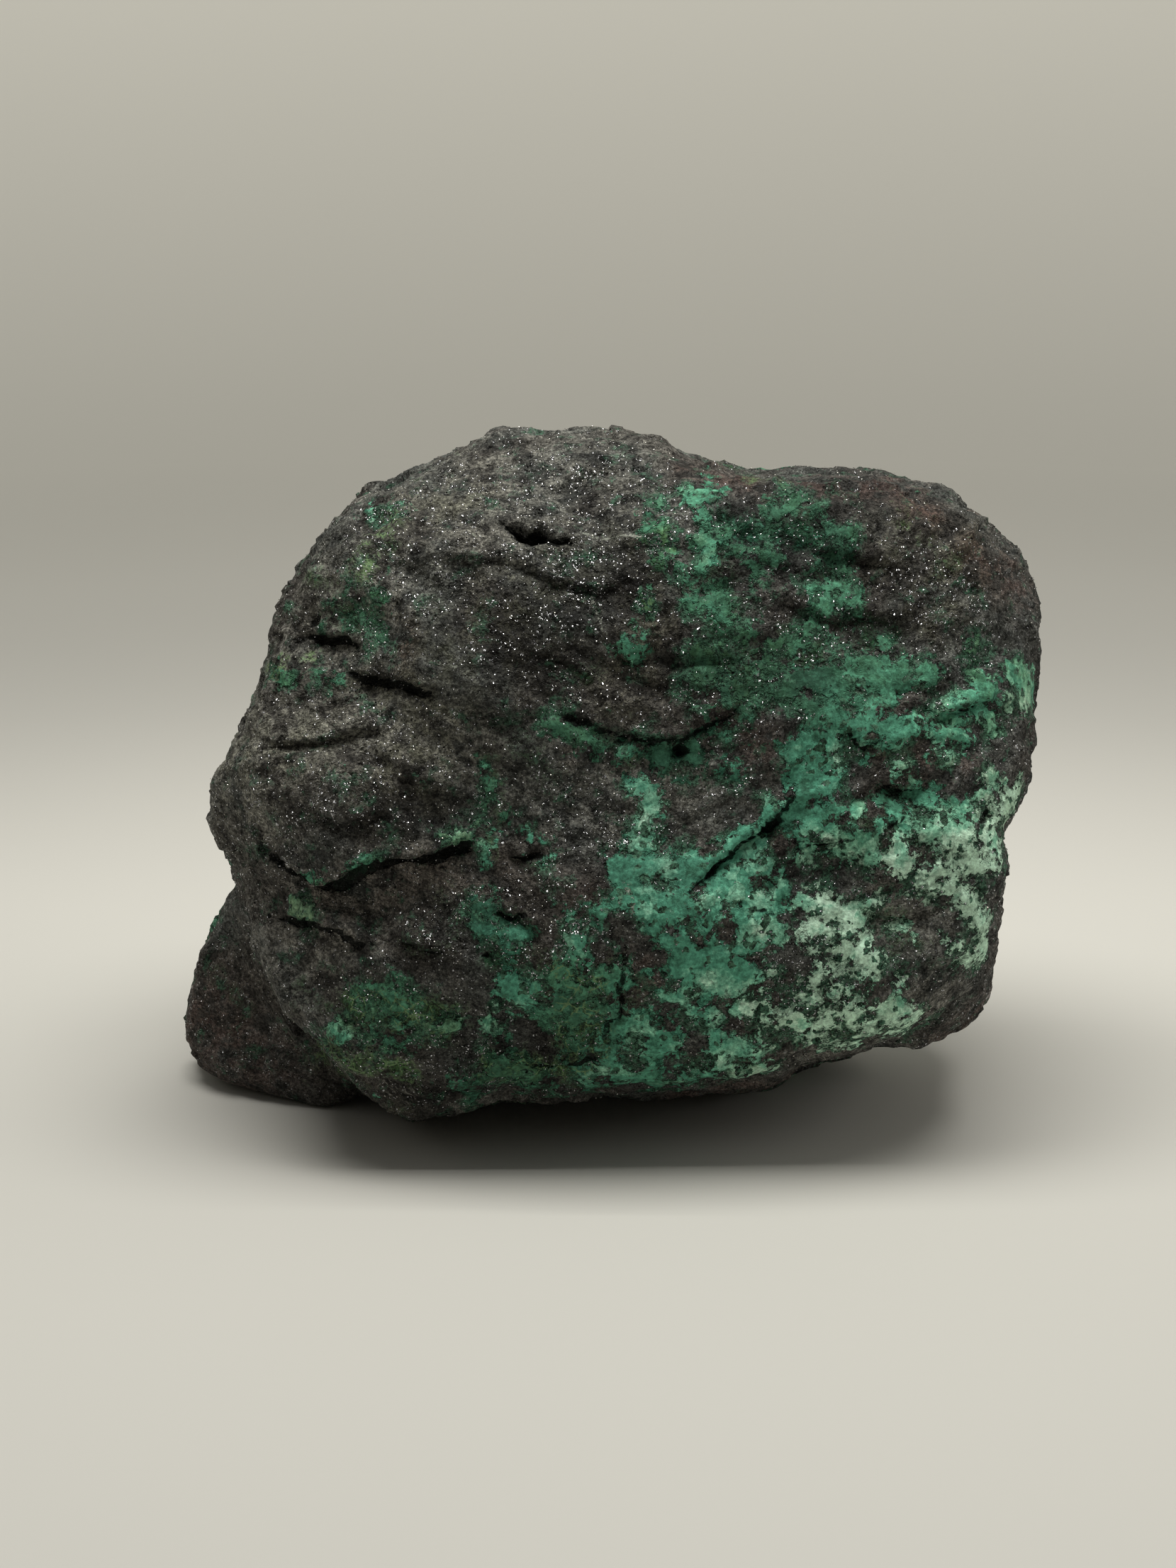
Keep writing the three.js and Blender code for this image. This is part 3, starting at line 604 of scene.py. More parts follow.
# Broad swells (positive) and hollows (negative) of the face: height, half width, line.
SWELLS = [
    (-4.2, 15, [(-36, -12), (-14, -10), (12, -8)]),
    (3.5, 12, [(-38, 24), (-10, 27), (14, 24)]),
    (4.5, 14, [(-70, 0), (-58, -6)]),
    (-2.5, 9, [(-66, 34), (-52, 30)]),
    (-2.5, 7, [(38, -68), (62, -64)]),
    (-1.5, 10, [(46, -22), (66, -24)]),
    (-4.0, 9, [(-48, -72), (-20, -76), (30, -74)]),
    (2.5, 8, [(-60, -33), (-44, -37)]),
    (-3.0, 8, [(68, -58), (80, -44)]),
    (1.8, 3.5, [(-77, -28), (-74, -38), (-69, -47), (-62, -54), (-54, -62)]),
]

# The combed ridge down the block's left edge, where hair-fine fibres follow the edge.
RIDGE = [(-80, 16), (-82, 2), (-82, -8), (-78.6, -18), (-77, -28), (-74, -38), (-69, -47),
         (-62, -54), (-54, -62), (-46, -69), (-38, -72)]


def crossed(points, quads):
    """The cross of each cell's diagonals: square to the cell, and twice its area long."""
    across = points[quads[:, 2]] - points[quads[:, 0]]
    return np.cross(across, points[quads[:, 3]] - points[quads[:, 1]])


def outward(points, quads):
    """Unit normals: the crossed diagonals, summed over the cells that meet."""
    total = np.zeros_like(points)
    for corner in range(4):
        np.add.at(total, quads[:, corner], crossed(points, quads))
    return total / np.linalg.norm(total, axis=1)[:, None]


def smooth_step(low, high, value):
    """An S-curve that rises from 0 at low to 1 at high."""
    share = np.clip((value - low) / (high - low), 0, 1)
    return share * share * (3 - 2 * share)


# The face map is the face as seen from a point FLARE millimetres out along w. What the map
# says holds on the side that faces that point, and the rest of the stone has its own pattern.
FLARE = 480.0
skin_normal = outward(skin, quads)
face_map = skin[:, :2] / (1 - skin[:, 2:] / FLARE)
u, v = face_map.T
eye_line = np.array([0, 0, FLARE]) - skin
eye_line /= np.linalg.norm(eye_line, axis=1)[:, None]
fronting = smooth_step(-0.02, 0.22, (skin_normal * eye_line).sum(axis=1))
behind = 1 - fronting


def near(line, half_width):
    """How close each place on the face map is to a line: 1 on it, 0.37 at its half width."""
    reach = nearest(face_map, line)[0] / half_width
    return np.exp(-(reach**2))


# Ledges and cracks: a height over the skin, a sag of each ledge's lip, and the distance
# from the dark gap that each one leaves, which the shader paints black as shade. Their lines stray a
# little, as breaks do.
STRAY = 0.9
LIP_REACH = 1.6
LIP_LIMIT = 2.4
FAR = 4.0
ledge_height = np.zeros(len(skin))
lip = np.zeros(len(skin))
gap = np.full(len(skin), FAR)
strayed = face_map + STRAY * np.stack([waves(skin, 4.5, seed, 3, 0.6) for seed in (50, 55)], axis=1)
for rise, drop, reach, gap_width, line in LEDGES:
    distance, side, to_end = nearest(strayed, line)
    share = smooth_step(0, 5, to_end)
    above = smooth_step(-0.45, 0.45, distance * side)
    fall_off = np.exp(-distance / reach) * share
    ledge_height += fall_off * (above * (rise + drop) - drop)
    lip += np.exp(-distance / LIP_REACH) * share * above * min(drop, LIP_LIMIT) * 0.5
    if gap_width:
        gap = np.minimum(gap, np.abs(distance * side + gap_width) - gap_width * share)
for depth, half_width, line in CRACKS:
    distance, side, to_end = nearest(strayed, line)
    share = smooth_step(-0.5, 2.5, to_end)
    ledge_height -= depth * share * np.exp(-((distance / half_width) ** 2))
    gap = np.minimum(gap, distance - 0.75 * half_width * share)
gap = np.clip(gap + FAR * behind, -1, FAR)

# The crust: how deep each point lies inside a patch, and the colours of the patches near it,
# which run into each other over TONE_REACH.
TONE_REACH = 1.3
inside = np.full(len(skin), -6.0)
tones = np.full((len(skin), 2), [0.1, 0.2]) * 1e-4
tone_weight = np.full(len(skin), 1e-4)
for pale, yellow, full, half_width, line in CRUST:
    distance = nearest(face_map, line)[0]
    depth = np.minimum(half_width - distance, full)
    inside = np.maximum(inside, depth)
    share = np.exp(np.minimum(half_width - distance, 0) / TONE_REACH)
    tones += share[:, None] * np.array([pale, yellow])
    tone_weight += share
tones /= tone_weight[:, None]
# higher up the face the crust is deeper in colour, yellower and thinner, and low on the
# right it is palest
tones[:, 0] -= 0.6 * smooth_step(-2, 30, v)
tones[:, 0] += 0.33 * smooth_step(12, 42, u) * smooth_step(-8, -20, v)
tones[:, 1] += 0.25 * smooth_step(-2, 30, v) * smooth_step(-30, 0, u)
inside -= 0.5 * smooth_step(28, 42, v)
for half_width, line in BARE:
    inside = np.minimum(inside, nearest(face_map, line)[0] - half_width)
side_patches = -2.4 + 3.4 * waves(skin, 17, 70, 2) - 3 * smooth_step(-32, -8, skin[:, 2])
inside = np.clip(fronting * inside + behind * side_patches, -FAR, FAR)

stain = behind * smooth_step(0.1, 0.7, waves(skin, 21, 80, 2)) * 0.6
stain_yellow = np.full(len(skin), 0.2)
for strength, yellow, half_width, line in STAINS:
    here = fronting * strength * near(line, half_width)
    stain_yellow += (yellow - stain_yellow) * here / (here + stain + 1e-3)
    stain = np.maximum(stain, here)


def cast_of(marks, seed):
    """A soft tint: the strongest of its marks at each point, and waves away from the face."""
    cast = behind * smooth_step(0.2, 0.8, waves(skin, 26, seed, 2)) * 0.7
    for strength, half_width, line in marks:
        cast = np.maximum(cast, fronting * strength * near(line, half_width))
    return cast


RIDGE_WIDTH = 5.5
combed = fronting * near(RIDGE, RIDGE_WIDTH) * smooth_step(0, 8, nearest(face_map, RIDGE)[2])
sparkling = cast_of(SPARKLING, 100)
scar = np.min([nearest(face_map, line)[0] for line in SCARS], axis=0)
scar = np.minimum(scar, 3) + 3 * behind

# Broken relief: waves, and facets in three sizes. Where the crust has filled them they are
# lower, and the crust rises over them. The base stays flat. The rock breaks along its
# bedding, which is folded: each bed dips from the left to the middle of the face and climbs
# again to the right.
BED_DIP = 0.42
FOLD_PLACE = 12.0
FOLD_WIDTH = 20.0
BED_STRETCH = 0.5
CRUST_RISE = 0.45
soft = smooth_step(-0.6, 0.8, inside)
fold = BED_DIP * np.hypot(skin[:, 0] - FOLD_PLACE, FOLD_WIDTH)
bedded = np.stack([skin[:, 0] * BED_STRETCH, skin[:, 1] - fold, skin[:, 2]], axis=1)
broken = waves(bedded, 15, 20, 5, 0.55)
for facet_size, facet_height, seed in [(12, 1.1, 25), (5.5, 0.7, 30), (2.4, 0.5, 40)]:
    broken += facet_height * hackle(bedded, facet_size, seed)
swell = np.zeros(len(skin))
for rise, half_width, line in SWELLS:
    swell += rise * near(line, half_width)
height = (ledge_height + swell) * fronting + broken * (1 - 0.6 * soft) + CRUST_RISE * soft
stone_points = to_part(skin)
off_base = smooth_step(0.0002, 0.005, stone_points[:, 2])
skin_shift = skin_normal * height[:, None]
skin_shift[:, 1] -= lip * fronting
stone_points += skin_shift @ FACE_AXES / 1000 * off_base[:, None]
stone_points[:, 2] = np.maximum(stone_points[:, 2], 0)

FIELDS = {
    "crust": inside,
    "pale": tones[:, 0],
    "yellow": tones[:, 1],
    "stain": stain,
    "stain_yellow": stain_yellow,
    "moss": cast_of(MOSS, 90),
    "rust": cast_of(RUST, 95),
    "combed": combed,
    "sparkling": sparkling,
    "dust_and_light": cast_of(DUST_AND_LIGHT, 105),
    "painted_shade": cast_of(PAINTED_SHADE, 110),
    "gap": gap,
    "scar": scar,
}


def solid_mesh(name, points, faces, smooth=True):
    """A mesh object at the origin from points in metres and lists of corner numbers."""
    mesh = bpy.data.meshes.new(name)
    mesh.from_pydata(points.tolist(), [], faces)
    mesh.shade_smooth() if smooth else mesh.shade_flat()
    made = bpy.data.objects.new(name, mesh)
    bpy.context.scene.collection.objects.link(made)
    return made


stone = solid_mesh("stone_skin", stone_points, quads.tolist() + seams.tolist())
layer = stone.data.attributes.new("bedded", "FLOAT_VECTOR", "POINT")
layer.data.foreach_set("vector", bedded.astype(np.float32).ravel())
for field, values in FIELDS.items():
    layer = stone.data.attributes.new(field, "FLOAT", "POINT")
    layer.data.foreach_set("value", values.astype(np.float32))


def put(tree, kind, inputs=None, **settings):
    """Adds a node with its settings, and fills its inputs with values or with links."""
    made = tree.nodes.new(kind)
    for name, value in settings.items():
        setattr(made, name, value)
    for name, value in (inputs or {}).items():
        if isinstance(value, bpy.types.NodeSocket):
            tree.links.new(value, made.inputs[name])
        else:
            made.inputs[name].default_value = value
    return made


def maths(tree, operation, *values):
    """One sum on one to three values or sockets."""
    return put(tree, "ShaderNodeMath", dict(enumerate(values)), operation=operation).outputs[0]


def times(tree, *values):
    """The product of two or more values."""
    product = values[0]
    for value in values[1:]:
        product = maths(tree, "MULTIPLY", product, value)
    return product


def plus(tree, *values):
    """The sum of two or more values."""
    total = values[0]
    for value in values[1:]:
        total = maths(tree, "ADD", total, value)
    return total


def rest_of(tree, value):
    """What is left of 1."""
    return maths(tree, "SUBTRACT", 1, value)


def swing(tree, value, reach):
    """A pattern round 0.5 as one round 0, from -reach to reach."""
    return maths(tree, "MULTIPLY_ADD", value, 2 * reach, -reach)


def ease(tree, value, low, high, start=0.0, end=1.0):
    """An S-curve from start at low to end at high."""
    inputs = {"Value": value, "From Min": low, "From Max": high, "To Min": start, "To Max": end}
    return put(tree, "ShaderNodeMapRange", inputs, interpolation_type="SMOOTHSTEP").outputs[0]


def blend(tree, share, first, second):
    """A colour between the first, at share 0, and the second, at share 1."""
    return put(tree, "ShaderNodeMix", {0: share, 6: first, 7: second}, data_type="RGBA").outputs[2]


def between(tree, share, first, second):
    """A number between the first, at share 0, and the second, at share 1."""
    return put(tree, "ShaderNodeMix", {0: share, 2: first, 3: second}).outputs[0]


def cloud(tree, place, size, detail=3, roughness=0.55):
    """Layered noise round 0.5, its longest waves size millimetres long."""
    inputs = {"Vector": place, "Scale": 1 / size, "Detail": detail, "Roughness": roughness}
    return put(tree, "ShaderNodeTexNoise", inputs).outputs["Fac"]


def grains(tree, place, size):
    """Random cells, size millimetres across, each with a random colour of its own."""
    inputs = {"Vector": place, "Scale": 1 / size}
    return put(tree, "ShaderNodeTexVoronoi", inputs).outputs["Color"]


def seams_of(tree, place, size):
    """How far it is to the nearest seam between random cells, size millimetres across."""
    inputs = {"Vector": place, "Scale": 1 / size}
    cells = put(tree, "ShaderNodeTexVoronoi", inputs, feature="DISTANCE_TO_EDGE")
    return cells.outputs["Distance"]


def field(tree, name):
    """One of the stone's fields, as the shader reads it."""
    return put(tree, "ShaderNodeAttribute", attribute_name=name).outputs["Fac"]


def combed_along(tree, place):
    """The place turned to the ridge, then squeezed along it, for hairs that run one way."""
    turned = put(tree, "ShaderNodeMapping", {"Vector": place, "Rotation": (0, -1.0, 0)}).outputs[0]
    inputs = {"Vector": turned, "Scale": (0.16, 1, 1.5)}
    return put(tree, "ShaderNodeMapping", inputs).outputs[0]


ROCK_BROWN = (0.077, 0.0715, 0.064, 1)
ROCK_GREY = (0.094, 0.099, 0.092, 1)
ROCK_DUST = (0.20, 0.195, 0.172, 1)
DEEP_TEAL = (0.052, 0.160, 0.102, 1)
TEAL = (0.100, 0.345, 0.232, 1)
MINT = (0.270, 0.590, 0.415, 1)
CREAM = (0.585, 0.84, 0.655, 1)
OLIVE_GREEN = (0.115, 0.215, 0.070, 1)
DARK_GREEN = (0.006, 0.042, 0.022, 1)
MOSS_BROWN = (0.080, 0.082, 0.045, 1)
RUST_RED = (0.095, 0.054, 0.046, 1)
GRAIN_METAL = (0.46, 0.46, 0.48, 1)
TEAL_FILM = (0.040, 0.105, 0.065, 1)
GAP_SHADE_BLACK = (0.003, 0.004, 0.003, 1)
WEB_GREEN = (0.18, 0.28, 0.13, 1)
SCAR_GREY = (0.36, 0.38, 0.33, 1)

# Sizes of the grain and of the crust, in millimetres, and the share of grains that are dull.
GRAIN_SIZE = 0.31
CHIP_SIZE = 1.3
PLATE_SIZE = 3.0
CREASE_SPACING = 9.0
THREAD_SPACING = 2.6
DULL_SHARE = 0.985
BUMP_HEIGHT = 0.001


def scaled(tree, colour, amount):
    """A colour times a number."""
    inputs = {0: colour, "Scale": amount}
    return put(tree, "ShaderNodeVectorMath", inputs, operation="SCALE").outputs[0]


def off_centre(tree, colour):
    """A random colour as a random push, from -0.5 to 0.5 each way."""
    inputs = {0: colour, 1: (0.5, 0.5, 0.5)}
    return put(tree, "ShaderNodeVectorMath", inputs, operation="SUBTRACT").outputs[0]


def jostled(tree, place, size, reach):
    """The place moved by up to half of reach by noise of that size, to break up round cells."""
    noise = put(tree, "ShaderNodeTexNoise", {"Vector": place, "Scale": 1 / size, "Detail": 2})
    push = off_centre(tree, noise.outputs["Color"])
    inputs = {0: push, 1: (reach, reach, reach), 2: place}
    return put(tree, "ShaderNodeVectorMath", inputs, operation="MULTIPLY_ADD").outputs[0]


def leaning(tree, normal, colour, amount):
    """A normal pushed over by each cell's random colour, so every cell faces its own way."""
    inputs = {0: normal, 1: scaled(tree, off_centre(tree, colour), amount)}
    return put(tree, "ShaderNodeVectorMath", inputs, operation="ADD").outputs[0]


def channel(tree, colour, number):
    """One channel of a cell's random colour, as a random number from 0 to 1."""
    return put(tree, "ShaderNodeSeparateColor", {"Color": colour}).outputs[number]


def new_material(name):
    """An empty material, its node tree, and the place on the object in metres."""
    material = bpy.data.materials.new(name)
    material.use_nodes = True
    tree = material.node_tree
    tree.nodes.clear()
    return material, tree, put(tree, "ShaderNodeTexCoord").outputs["Object"]


def in_millimetres(tree, metres):
    """The place in millimetres."""
    inputs = {"Vector": metres, "Scale": (1000, 1000, 1000)}
    return put(tree, "ShaderNodeMapping", inputs).outputs[0]


def stone_material():
    """Rock, its stains and its crust, each laid over the last."""
    material, tree, metres = new_material("stone_rock_and_crust")
    place = in_millimetres(tree, metres)
    loose = jostled(tree, place, 0.8, 0.9)
    bent = jostled(tree, place, 2.0, 2.4)
    painted_shade = field(tree, "painted_shade")

    # bare rock: slow changes of ground, darkened in specks as painted shade of pits, by the grains
    # themselves, and by the painted shade
    patchy = cloud(tree, place, 4.5, 4, 0.62)
    speckle = cloud(tree, place, 0.7, 3, 0.75)
    cells = grains(tree, jostled(tree, place, 0.9, 0.35), GRAIN_SIZE)
    chips = grains(tree, loose, CHIP_SIZE)
    bedded = put(tree, "ShaderNodeAttribute", attribute_name="bedded").outputs["Vector"]
    streaks = cloud(tree, bedded, 1.6, 3, 0.68)
    rock = blend(tree, ease(tree, cloud(tree, place, 20), 0.40, 0.60), ROCK_BROWN, ROCK_GREY)
    # paler grey ground: partly dust, partly painted light on lit facets
    dust_and_light = times(tree, field(tree, "dust_and_light"), ease(tree, patchy, 0.36, 0.56))
    rock = blend(tree, dust_and_light, rock, ROCK_DUST)
    shade = times(
        tree,
        ease(tree, patchy, 0.34, 0.58, 0.50, 1.15),
        ease(tree, speckle, 0.34, 0.68, 0.38, 1.5),
        ease(tree, channel(tree, cells, 0), 0, 1, 0.70, 1.3),
        ease(tree, streaks, 0.36, 0.64, 0.65, 1.25),
        rest_of(tree, painted_shade),
    )
    rock = scaled(tree, rock, shade)
    hairs = ease(tree, cloud(tree, combed_along(tree, loose), 0.9, 3, 0.6), 0.52, 0.68)
    rock = blend(tree, times(tree, hairs, field(tree, "combed"), 0.85), rock, ROCK_DUST)

    # casts and stains in the rock
    moss = times(tree, field(tree, "moss"), ease(tree, patchy, 0.42, 0.62, 0.1, 0.7))
    rock = blend(tree, moss, rock, scaled(tree, MOSS_BROWN[:3], shade))
    rust = times(tree, field(tree, "rust"), ease(tree, patchy, 0.40, 0.58, 0.1, 0.75))
    rock = blend(tree, rust, rock, scaled(tree, RUST_RED[:3], shade))
    stain = field(tree, "stain")
    stain_yellow = field(tree, "stain_yellow")
    soak = maths(tree, "MULTIPLY_ADD", stain, 1.5, -0.95)
    soak = plus(tree, soak, swing(tree, patchy, 1.5), swing(tree, speckle, 0.7))
    stain_colour = blend(tree, stain_yellow, DARK_GREEN, OLIVE_GREEN)
    stain_colour = scaled(tree, stain_colour, ease(tree, speckle, 0.35, 0.65, 0.3, 1.6))
    crumbs = ease(tree, cloud(tree, place, 1.6, 3, 0.65), 0.56, 0.64, 0, 0.45)
    stain_colour = blend(tree, crumbs, stain_colour, TEAL)
    rock = blend(tree, ease(tree, soak, -0.5, 0.7, 0, 0.92), rock, stain_colour)

    # the crust's depth: its edge is frayed into crumbs, and broken along plates and chips
    mottle = cloud(tree, place, 7.0, 4, 0.64)
    crumble = swing(tree, cloud(tree, place, 1.5, 4, 0.80), 4.5)
    crumbly = ease(tree, cloud(tree, place, 9, 2), 0.40, 0.62, 0.40, 1)
    crumbly = maths(tree, "MAXIMUM", crumbly, field(tree, "pale"))
    plates = grains(tree, bent, PLATE_SIZE)
    frayed = plus(tree, field(tree, "crust"), swing(tree, cloud(tree, place, 5.0, 5, 0.70), 6.5))
    depth = plus(
        tree,
        frayed,
        times(tree, crumble, crumbly),
        swing(tree, channel(tree, plates, 0), 1.0),
        swing(tree, channel(tree, chips, 0), 0.8),
    )

    # where the crust is full it covers, and where it is a film it is thin, holed and wide-rimmed
    film = ease(tree, mottle, 0.47, 0.58)
    holes = maths(tree, "MULTIPLY_ADD", film, 0.10, channel(tree, chips, 1))
    holes = ease(tree, holes, 0.90, 0.94)
    cover = times(tree, ease(tree, depth, -0.1, 0.1), rest_of(tree, holes))
    bare = rest_of(tree, cover)
    thin = ease(tree, depth, 0.1, 2.2, maths(tree, "MULTIPLY_ADD", film, -0.4, 1.0), 1.0)
    rim = ease(tree, depth, maths(tree, "MULTIPLY_ADD", film, -3.5, -1.2), 0.0, 0, 0.9)
    rim_colour = scaled(tree, TEAL_FILM[:3], ease(tree, speckle, 0.32, 0.68, 0.2, 2.0))
    rock = blend(tree, rim, rock, rim_colour)

    # the crust's colour, from deep teal to cream, creased and worn through to dark green
    grain = cloud(tree, place, 1.1, 3, 0.68)
    tone = plus(
        tree,
        field(tree, "pale"),
        swing(tree, mottle, 1.2),
        swing(tree, grain, 0.35),
        swing(tree, channel(tree, plates, 1), 0.2),
    )
    crust = blend(tree, ease(tree, tone, -0.8, 0.1), DEEP_TEAL, TEAL)
    crust = blend(tree, ease(tree, tone, 0.0, 0.55), crust, MINT)
    crust = blend(tree, ease(tree, tone, 0.42, 0.95), crust, CREAM)
    yellow = times(tree, field(tree, "yellow"), ease(tree, mottle, 0.38, 0.6, 0.2, 1), 0.8)
    crust = blend(tree, yellow, crust, OLIVE_GREEN)
    creases = ease(tree, seams_of(tree, bent, CREASE_SPACING), 0.03, 0.0)
    creases = times(tree, creases, ease(tree, mottle, 0.50, 0.56), 0.5)
    crust = blend(tree, creases, crust, DARK_GREEN)
    worn = maths(tree, "MULTIPLY_ADD", patchy, -1.6, 0.72)
    worn = maths(tree, "MULTIPLY_ADD", crumble, -0.12, worn)
    worn = times(tree, ease(tree, worn, 0.05, 0.42, 0, 0.8), film)
    crust = blend(tree, worn, crust, DARK_GREEN)
    crust = scaled(tree, crust, ease(tree, grain, 0.30, 0.70, 0.70, 1.25))
    crust = scaled(tree, crust, ease(tree, speckle, 0.30, 0.66, 0.78, 1.18))
    # painted shade: the crust is painted darker where the face lies in shade
    crust = scaled(tree, crust, maths(tree, "MULTIPLY_ADD", painted_shade, -0.7, 1))
    base = blend(tree, times(tree, cover, thin), rock, crust)

    # a web of pale threads where the green is yellowest, and thin pale scars
    webbed = ease(tree, times(tree, stain, stain_yellow), 0.10, 0.30)
    webbed = times(tree, webbed, ease(tree, patchy, 0.46, 0.58), 0.75)
    web = ease(tree, seams_of(tree, loose, THREAD_SPACING), 0.08, 0.02)
    base = blend(tree, times(tree, web, webbed), base, WEB_GREEN)
    scar = plus(tree, field(tree, "scar"), swing(tree, speckle, 1.5))
    base = blend(tree, ease(tree, scar, 0.45, 0.05, 0, 0.8), base, SCAR_GREY)

    # painted shade: gaps and cracks are painted black, as the shade down in them, and their edges
    # wander
    wander = swing(tree, cloud(tree, place, 1.8, 3, 0.68), 1.2)
    gap_shade = ease(tree, plus(tree, field(tree, "gap"), wander), 0.30, -0.15, 0, 0.94)
    base = blend(tree, gap_shade, base, GAP_SHADE_BLACK)

    # bright grains: a few cells are polished, and each one faces its own way
    crowd = times(tree, field(tree, "sparkling"), 0.10)
    crowd = maths(tree, "MULTIPLY_ADD", ease(tree, streaks, 0.48, 0.62), 0.11, crowd)
    crowd = times(tree, crowd, ease(tree, mottle, 0.42, 0.58, 0.25, 1.3))
    crowd = maths(tree, "SUBTRACT", DULL_SHARE, crowd)
    lit = maths(tree, "GREATER_THAN", channel(tree, cells, 1), crowd)
    bright = times(tree, lit, bare, rest_of(tree, gap_shade))
    base = blend(tree, bright, base, GRAIN_METAL)
    grain_tilt = times(tree, bare, 0.35)
    grain_tilt = maths(tree, "MULTIPLY_ADD", bright, 1.5, grain_tilt)
    normal = put(tree, "ShaderNodeNewGeometry").outputs["Normal"]
    normal = leaning(tree, normal, cells, grain_tilt)
    normal = leaning(tree, normal, chips, times(tree, bare, 0.8))
    normal = leaning(tree, normal, plates, times(tree, cover, 0.28))
    normal = put(tree, "ShaderNodeVectorMath", {0: normal}, operation="NORMALIZE").outputs[0]

    # relief: pitted rock, a lower and smoother crust over it, and sunken gaps
    pitted = times(tree, cloud(tree, place, 3.0, 4, 0.68), 1.9)
    smooth = maths(tree, "MULTIPLY_ADD", patchy, 0.6, 1.3)
    smooth = maths(tree, "MULTIPLY_ADD", grain, 0.22, smooth)
    relief = between(tree, ease(tree, frayed, -0.6, 0.6), pitted, smooth)
    relief = maths(tree, "MULTIPLY_ADD", gap_shade, -0.8, relief)
    inputs = {"Height": relief, "Distance": BUMP_HEIGHT, "Normal": normal}
    bump = put(tree, "ShaderNodeBump", inputs).outputs[0]
    stone_rough = ease(tree, channel(tree, cells, 2), 0, 1, 0.5, 0.9)
    rough = between(tree, bright, between(tree, cover, stone_rough, 0.8), 0.14)
    shader = put(tree, "ShaderNodeBsdfPrincipled", {
        "Base Color": base,
        "Roughness": rough,
        "Metallic": bright,
        "Normal": bump,
        "Specular IOR Level": 0.12,
    })
    put(tree, "ShaderNodeOutputMaterial", {"Surface": shader.outputs[0]})
    return material


stone.data.materials.append(stone_material())
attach(stone, "root")
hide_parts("stone")

# ---------------------------------------------------------------------------------------
# The glints. Flat metallic crystals that grew in the rock, half sunk in it where it is bare,
# that flash where they face the light. They are closed eight-sided flakes in one piece.
# ---------------------------------------------------------------------------------------
# Widths and strays are in millimetres, and the rest are shares.
GLINT_COUNT = 14000
GLINT_WIDTH = (0.06, 0.21)
GLINT_FLATNESS = 0.35
GLINT_TILT = 0.55
GLINT_SINK = 0.3
GLINT_STRAY = 0.3


def glint_points(centres, normals, widths, chance):
    """Flakes as squashed octahedra: a four-cornered girdle in a tilted plane and two tips.

    Each flake's own axis is the skin's normal plus a random tilt. Its girdle corners lie at
    its half width along two axes square to that, and its tips at flatness times as far.
    """
    axis = normals + GLINT_TILT * chance.uniform(-1, 1, normals.shape)
    axis /= np.linalg.norm(axis, axis=1)[:, None]
    first = np.cross(axis, chance.uniform(-1, 1, normals.shape))
    first /= np.linalg.norm(first, axis=1)[:, None]
    second = np.cross(axis, first)
    widths = widths[:, None]
    tip = axis * widths * GLINT_FLATNESS
    long = first * widths * chance.uniform(0.8, 1.2, widths.shape)
    corners = [long, second * widths, -long, -second * widths, tip, -tip]
    return centres[:, None, :] + np.stack(corners, axis=1)


chance = np.random.default_rng(7)
crowding = 0.25 + 0.75 * sparkling
crowding *= smooth_step(0.5, -1.5, inside + 1.5 * waves(skin, 4, 60, 2))
crowding *= 0.15 + smooth_step(-0.3, 0.9, waves(skin, 8, 62, 3))
crowding *= smooth_step(0.003, 0.008, stone_points[:, 2])
cell_area = np.zeros(len(skin))
np.add.at(cell_area, quads[:, 0], np.linalg.norm(crossed(stone_points, quads), axis=1))
crowding *= cell_area
picked = chance.choice(len(skin), GLINT_COUNT, replace=False, p=crowding / crowding.sum())
stone_normal = outward(stone_points, quads)
widths = chance.uniform(*GLINT_WIDTH, GLINT_COUNT) / 1000
stray = chance.uniform(-GLINT_STRAY, GLINT_STRAY, (GLINT_COUNT, 3)) / 1000
centres = stone_points[picked] + stray
centres -= stone_normal[picked] * widths[:, None] * GLINT_FLATNESS * GLINT_SINK
flakes = glint_points(centres, stone_normal[picked], widths, chance)
girdle = np.arange(4)
upper = np.stack([girdle, np.roll(girdle, -1), np.full(4, 4)], axis=1)
lower = np.stack([np.roll(girdle, -1), girdle, np.full(4, 5)], axis=1)
flake_faces = np.concatenate([upper, lower])[None] + 6 * np.arange(GLINT_COUNT)[:, None, None]
flake_faces = flake_faces.reshape(-1, 3).tolist()
glints = solid_mesh("glints", flakes.reshape(-1, 3), flake_faces, smooth=False)


CRYSTAL_GREY = (0.42, 0.42, 0.45, 1)
CRYSTAL_WARM = (0.50, 0.48, 0.43, 1)


def glint_material():
    """Steel-grey mirror crystal, a little warmer and duller here and there."""
    material, tree, metres = new_material("glint_crystal")
    haze = cloud(tree, in_millimetres(tree, metres), 1.5)
    colour = blend(tree, ease(tree, haze, 0.35, 0.65), CRYSTAL_GREY, CRYSTAL_WARM)
    rough = ease(tree, haze, 0.3, 0.7, 0.16, 0.34)
    inputs = {"Base Color": colour, "Roughness": rough, "Metallic": 1.0}
    shader = put(tree, "ShaderNodeBsdfPrincipled", inputs)
    put(tree, "ShaderNodeOutputMaterial", {"Surface": shader.outputs[0]})
    return material


glints.data.materials.append(glint_material())
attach(glints, "root")

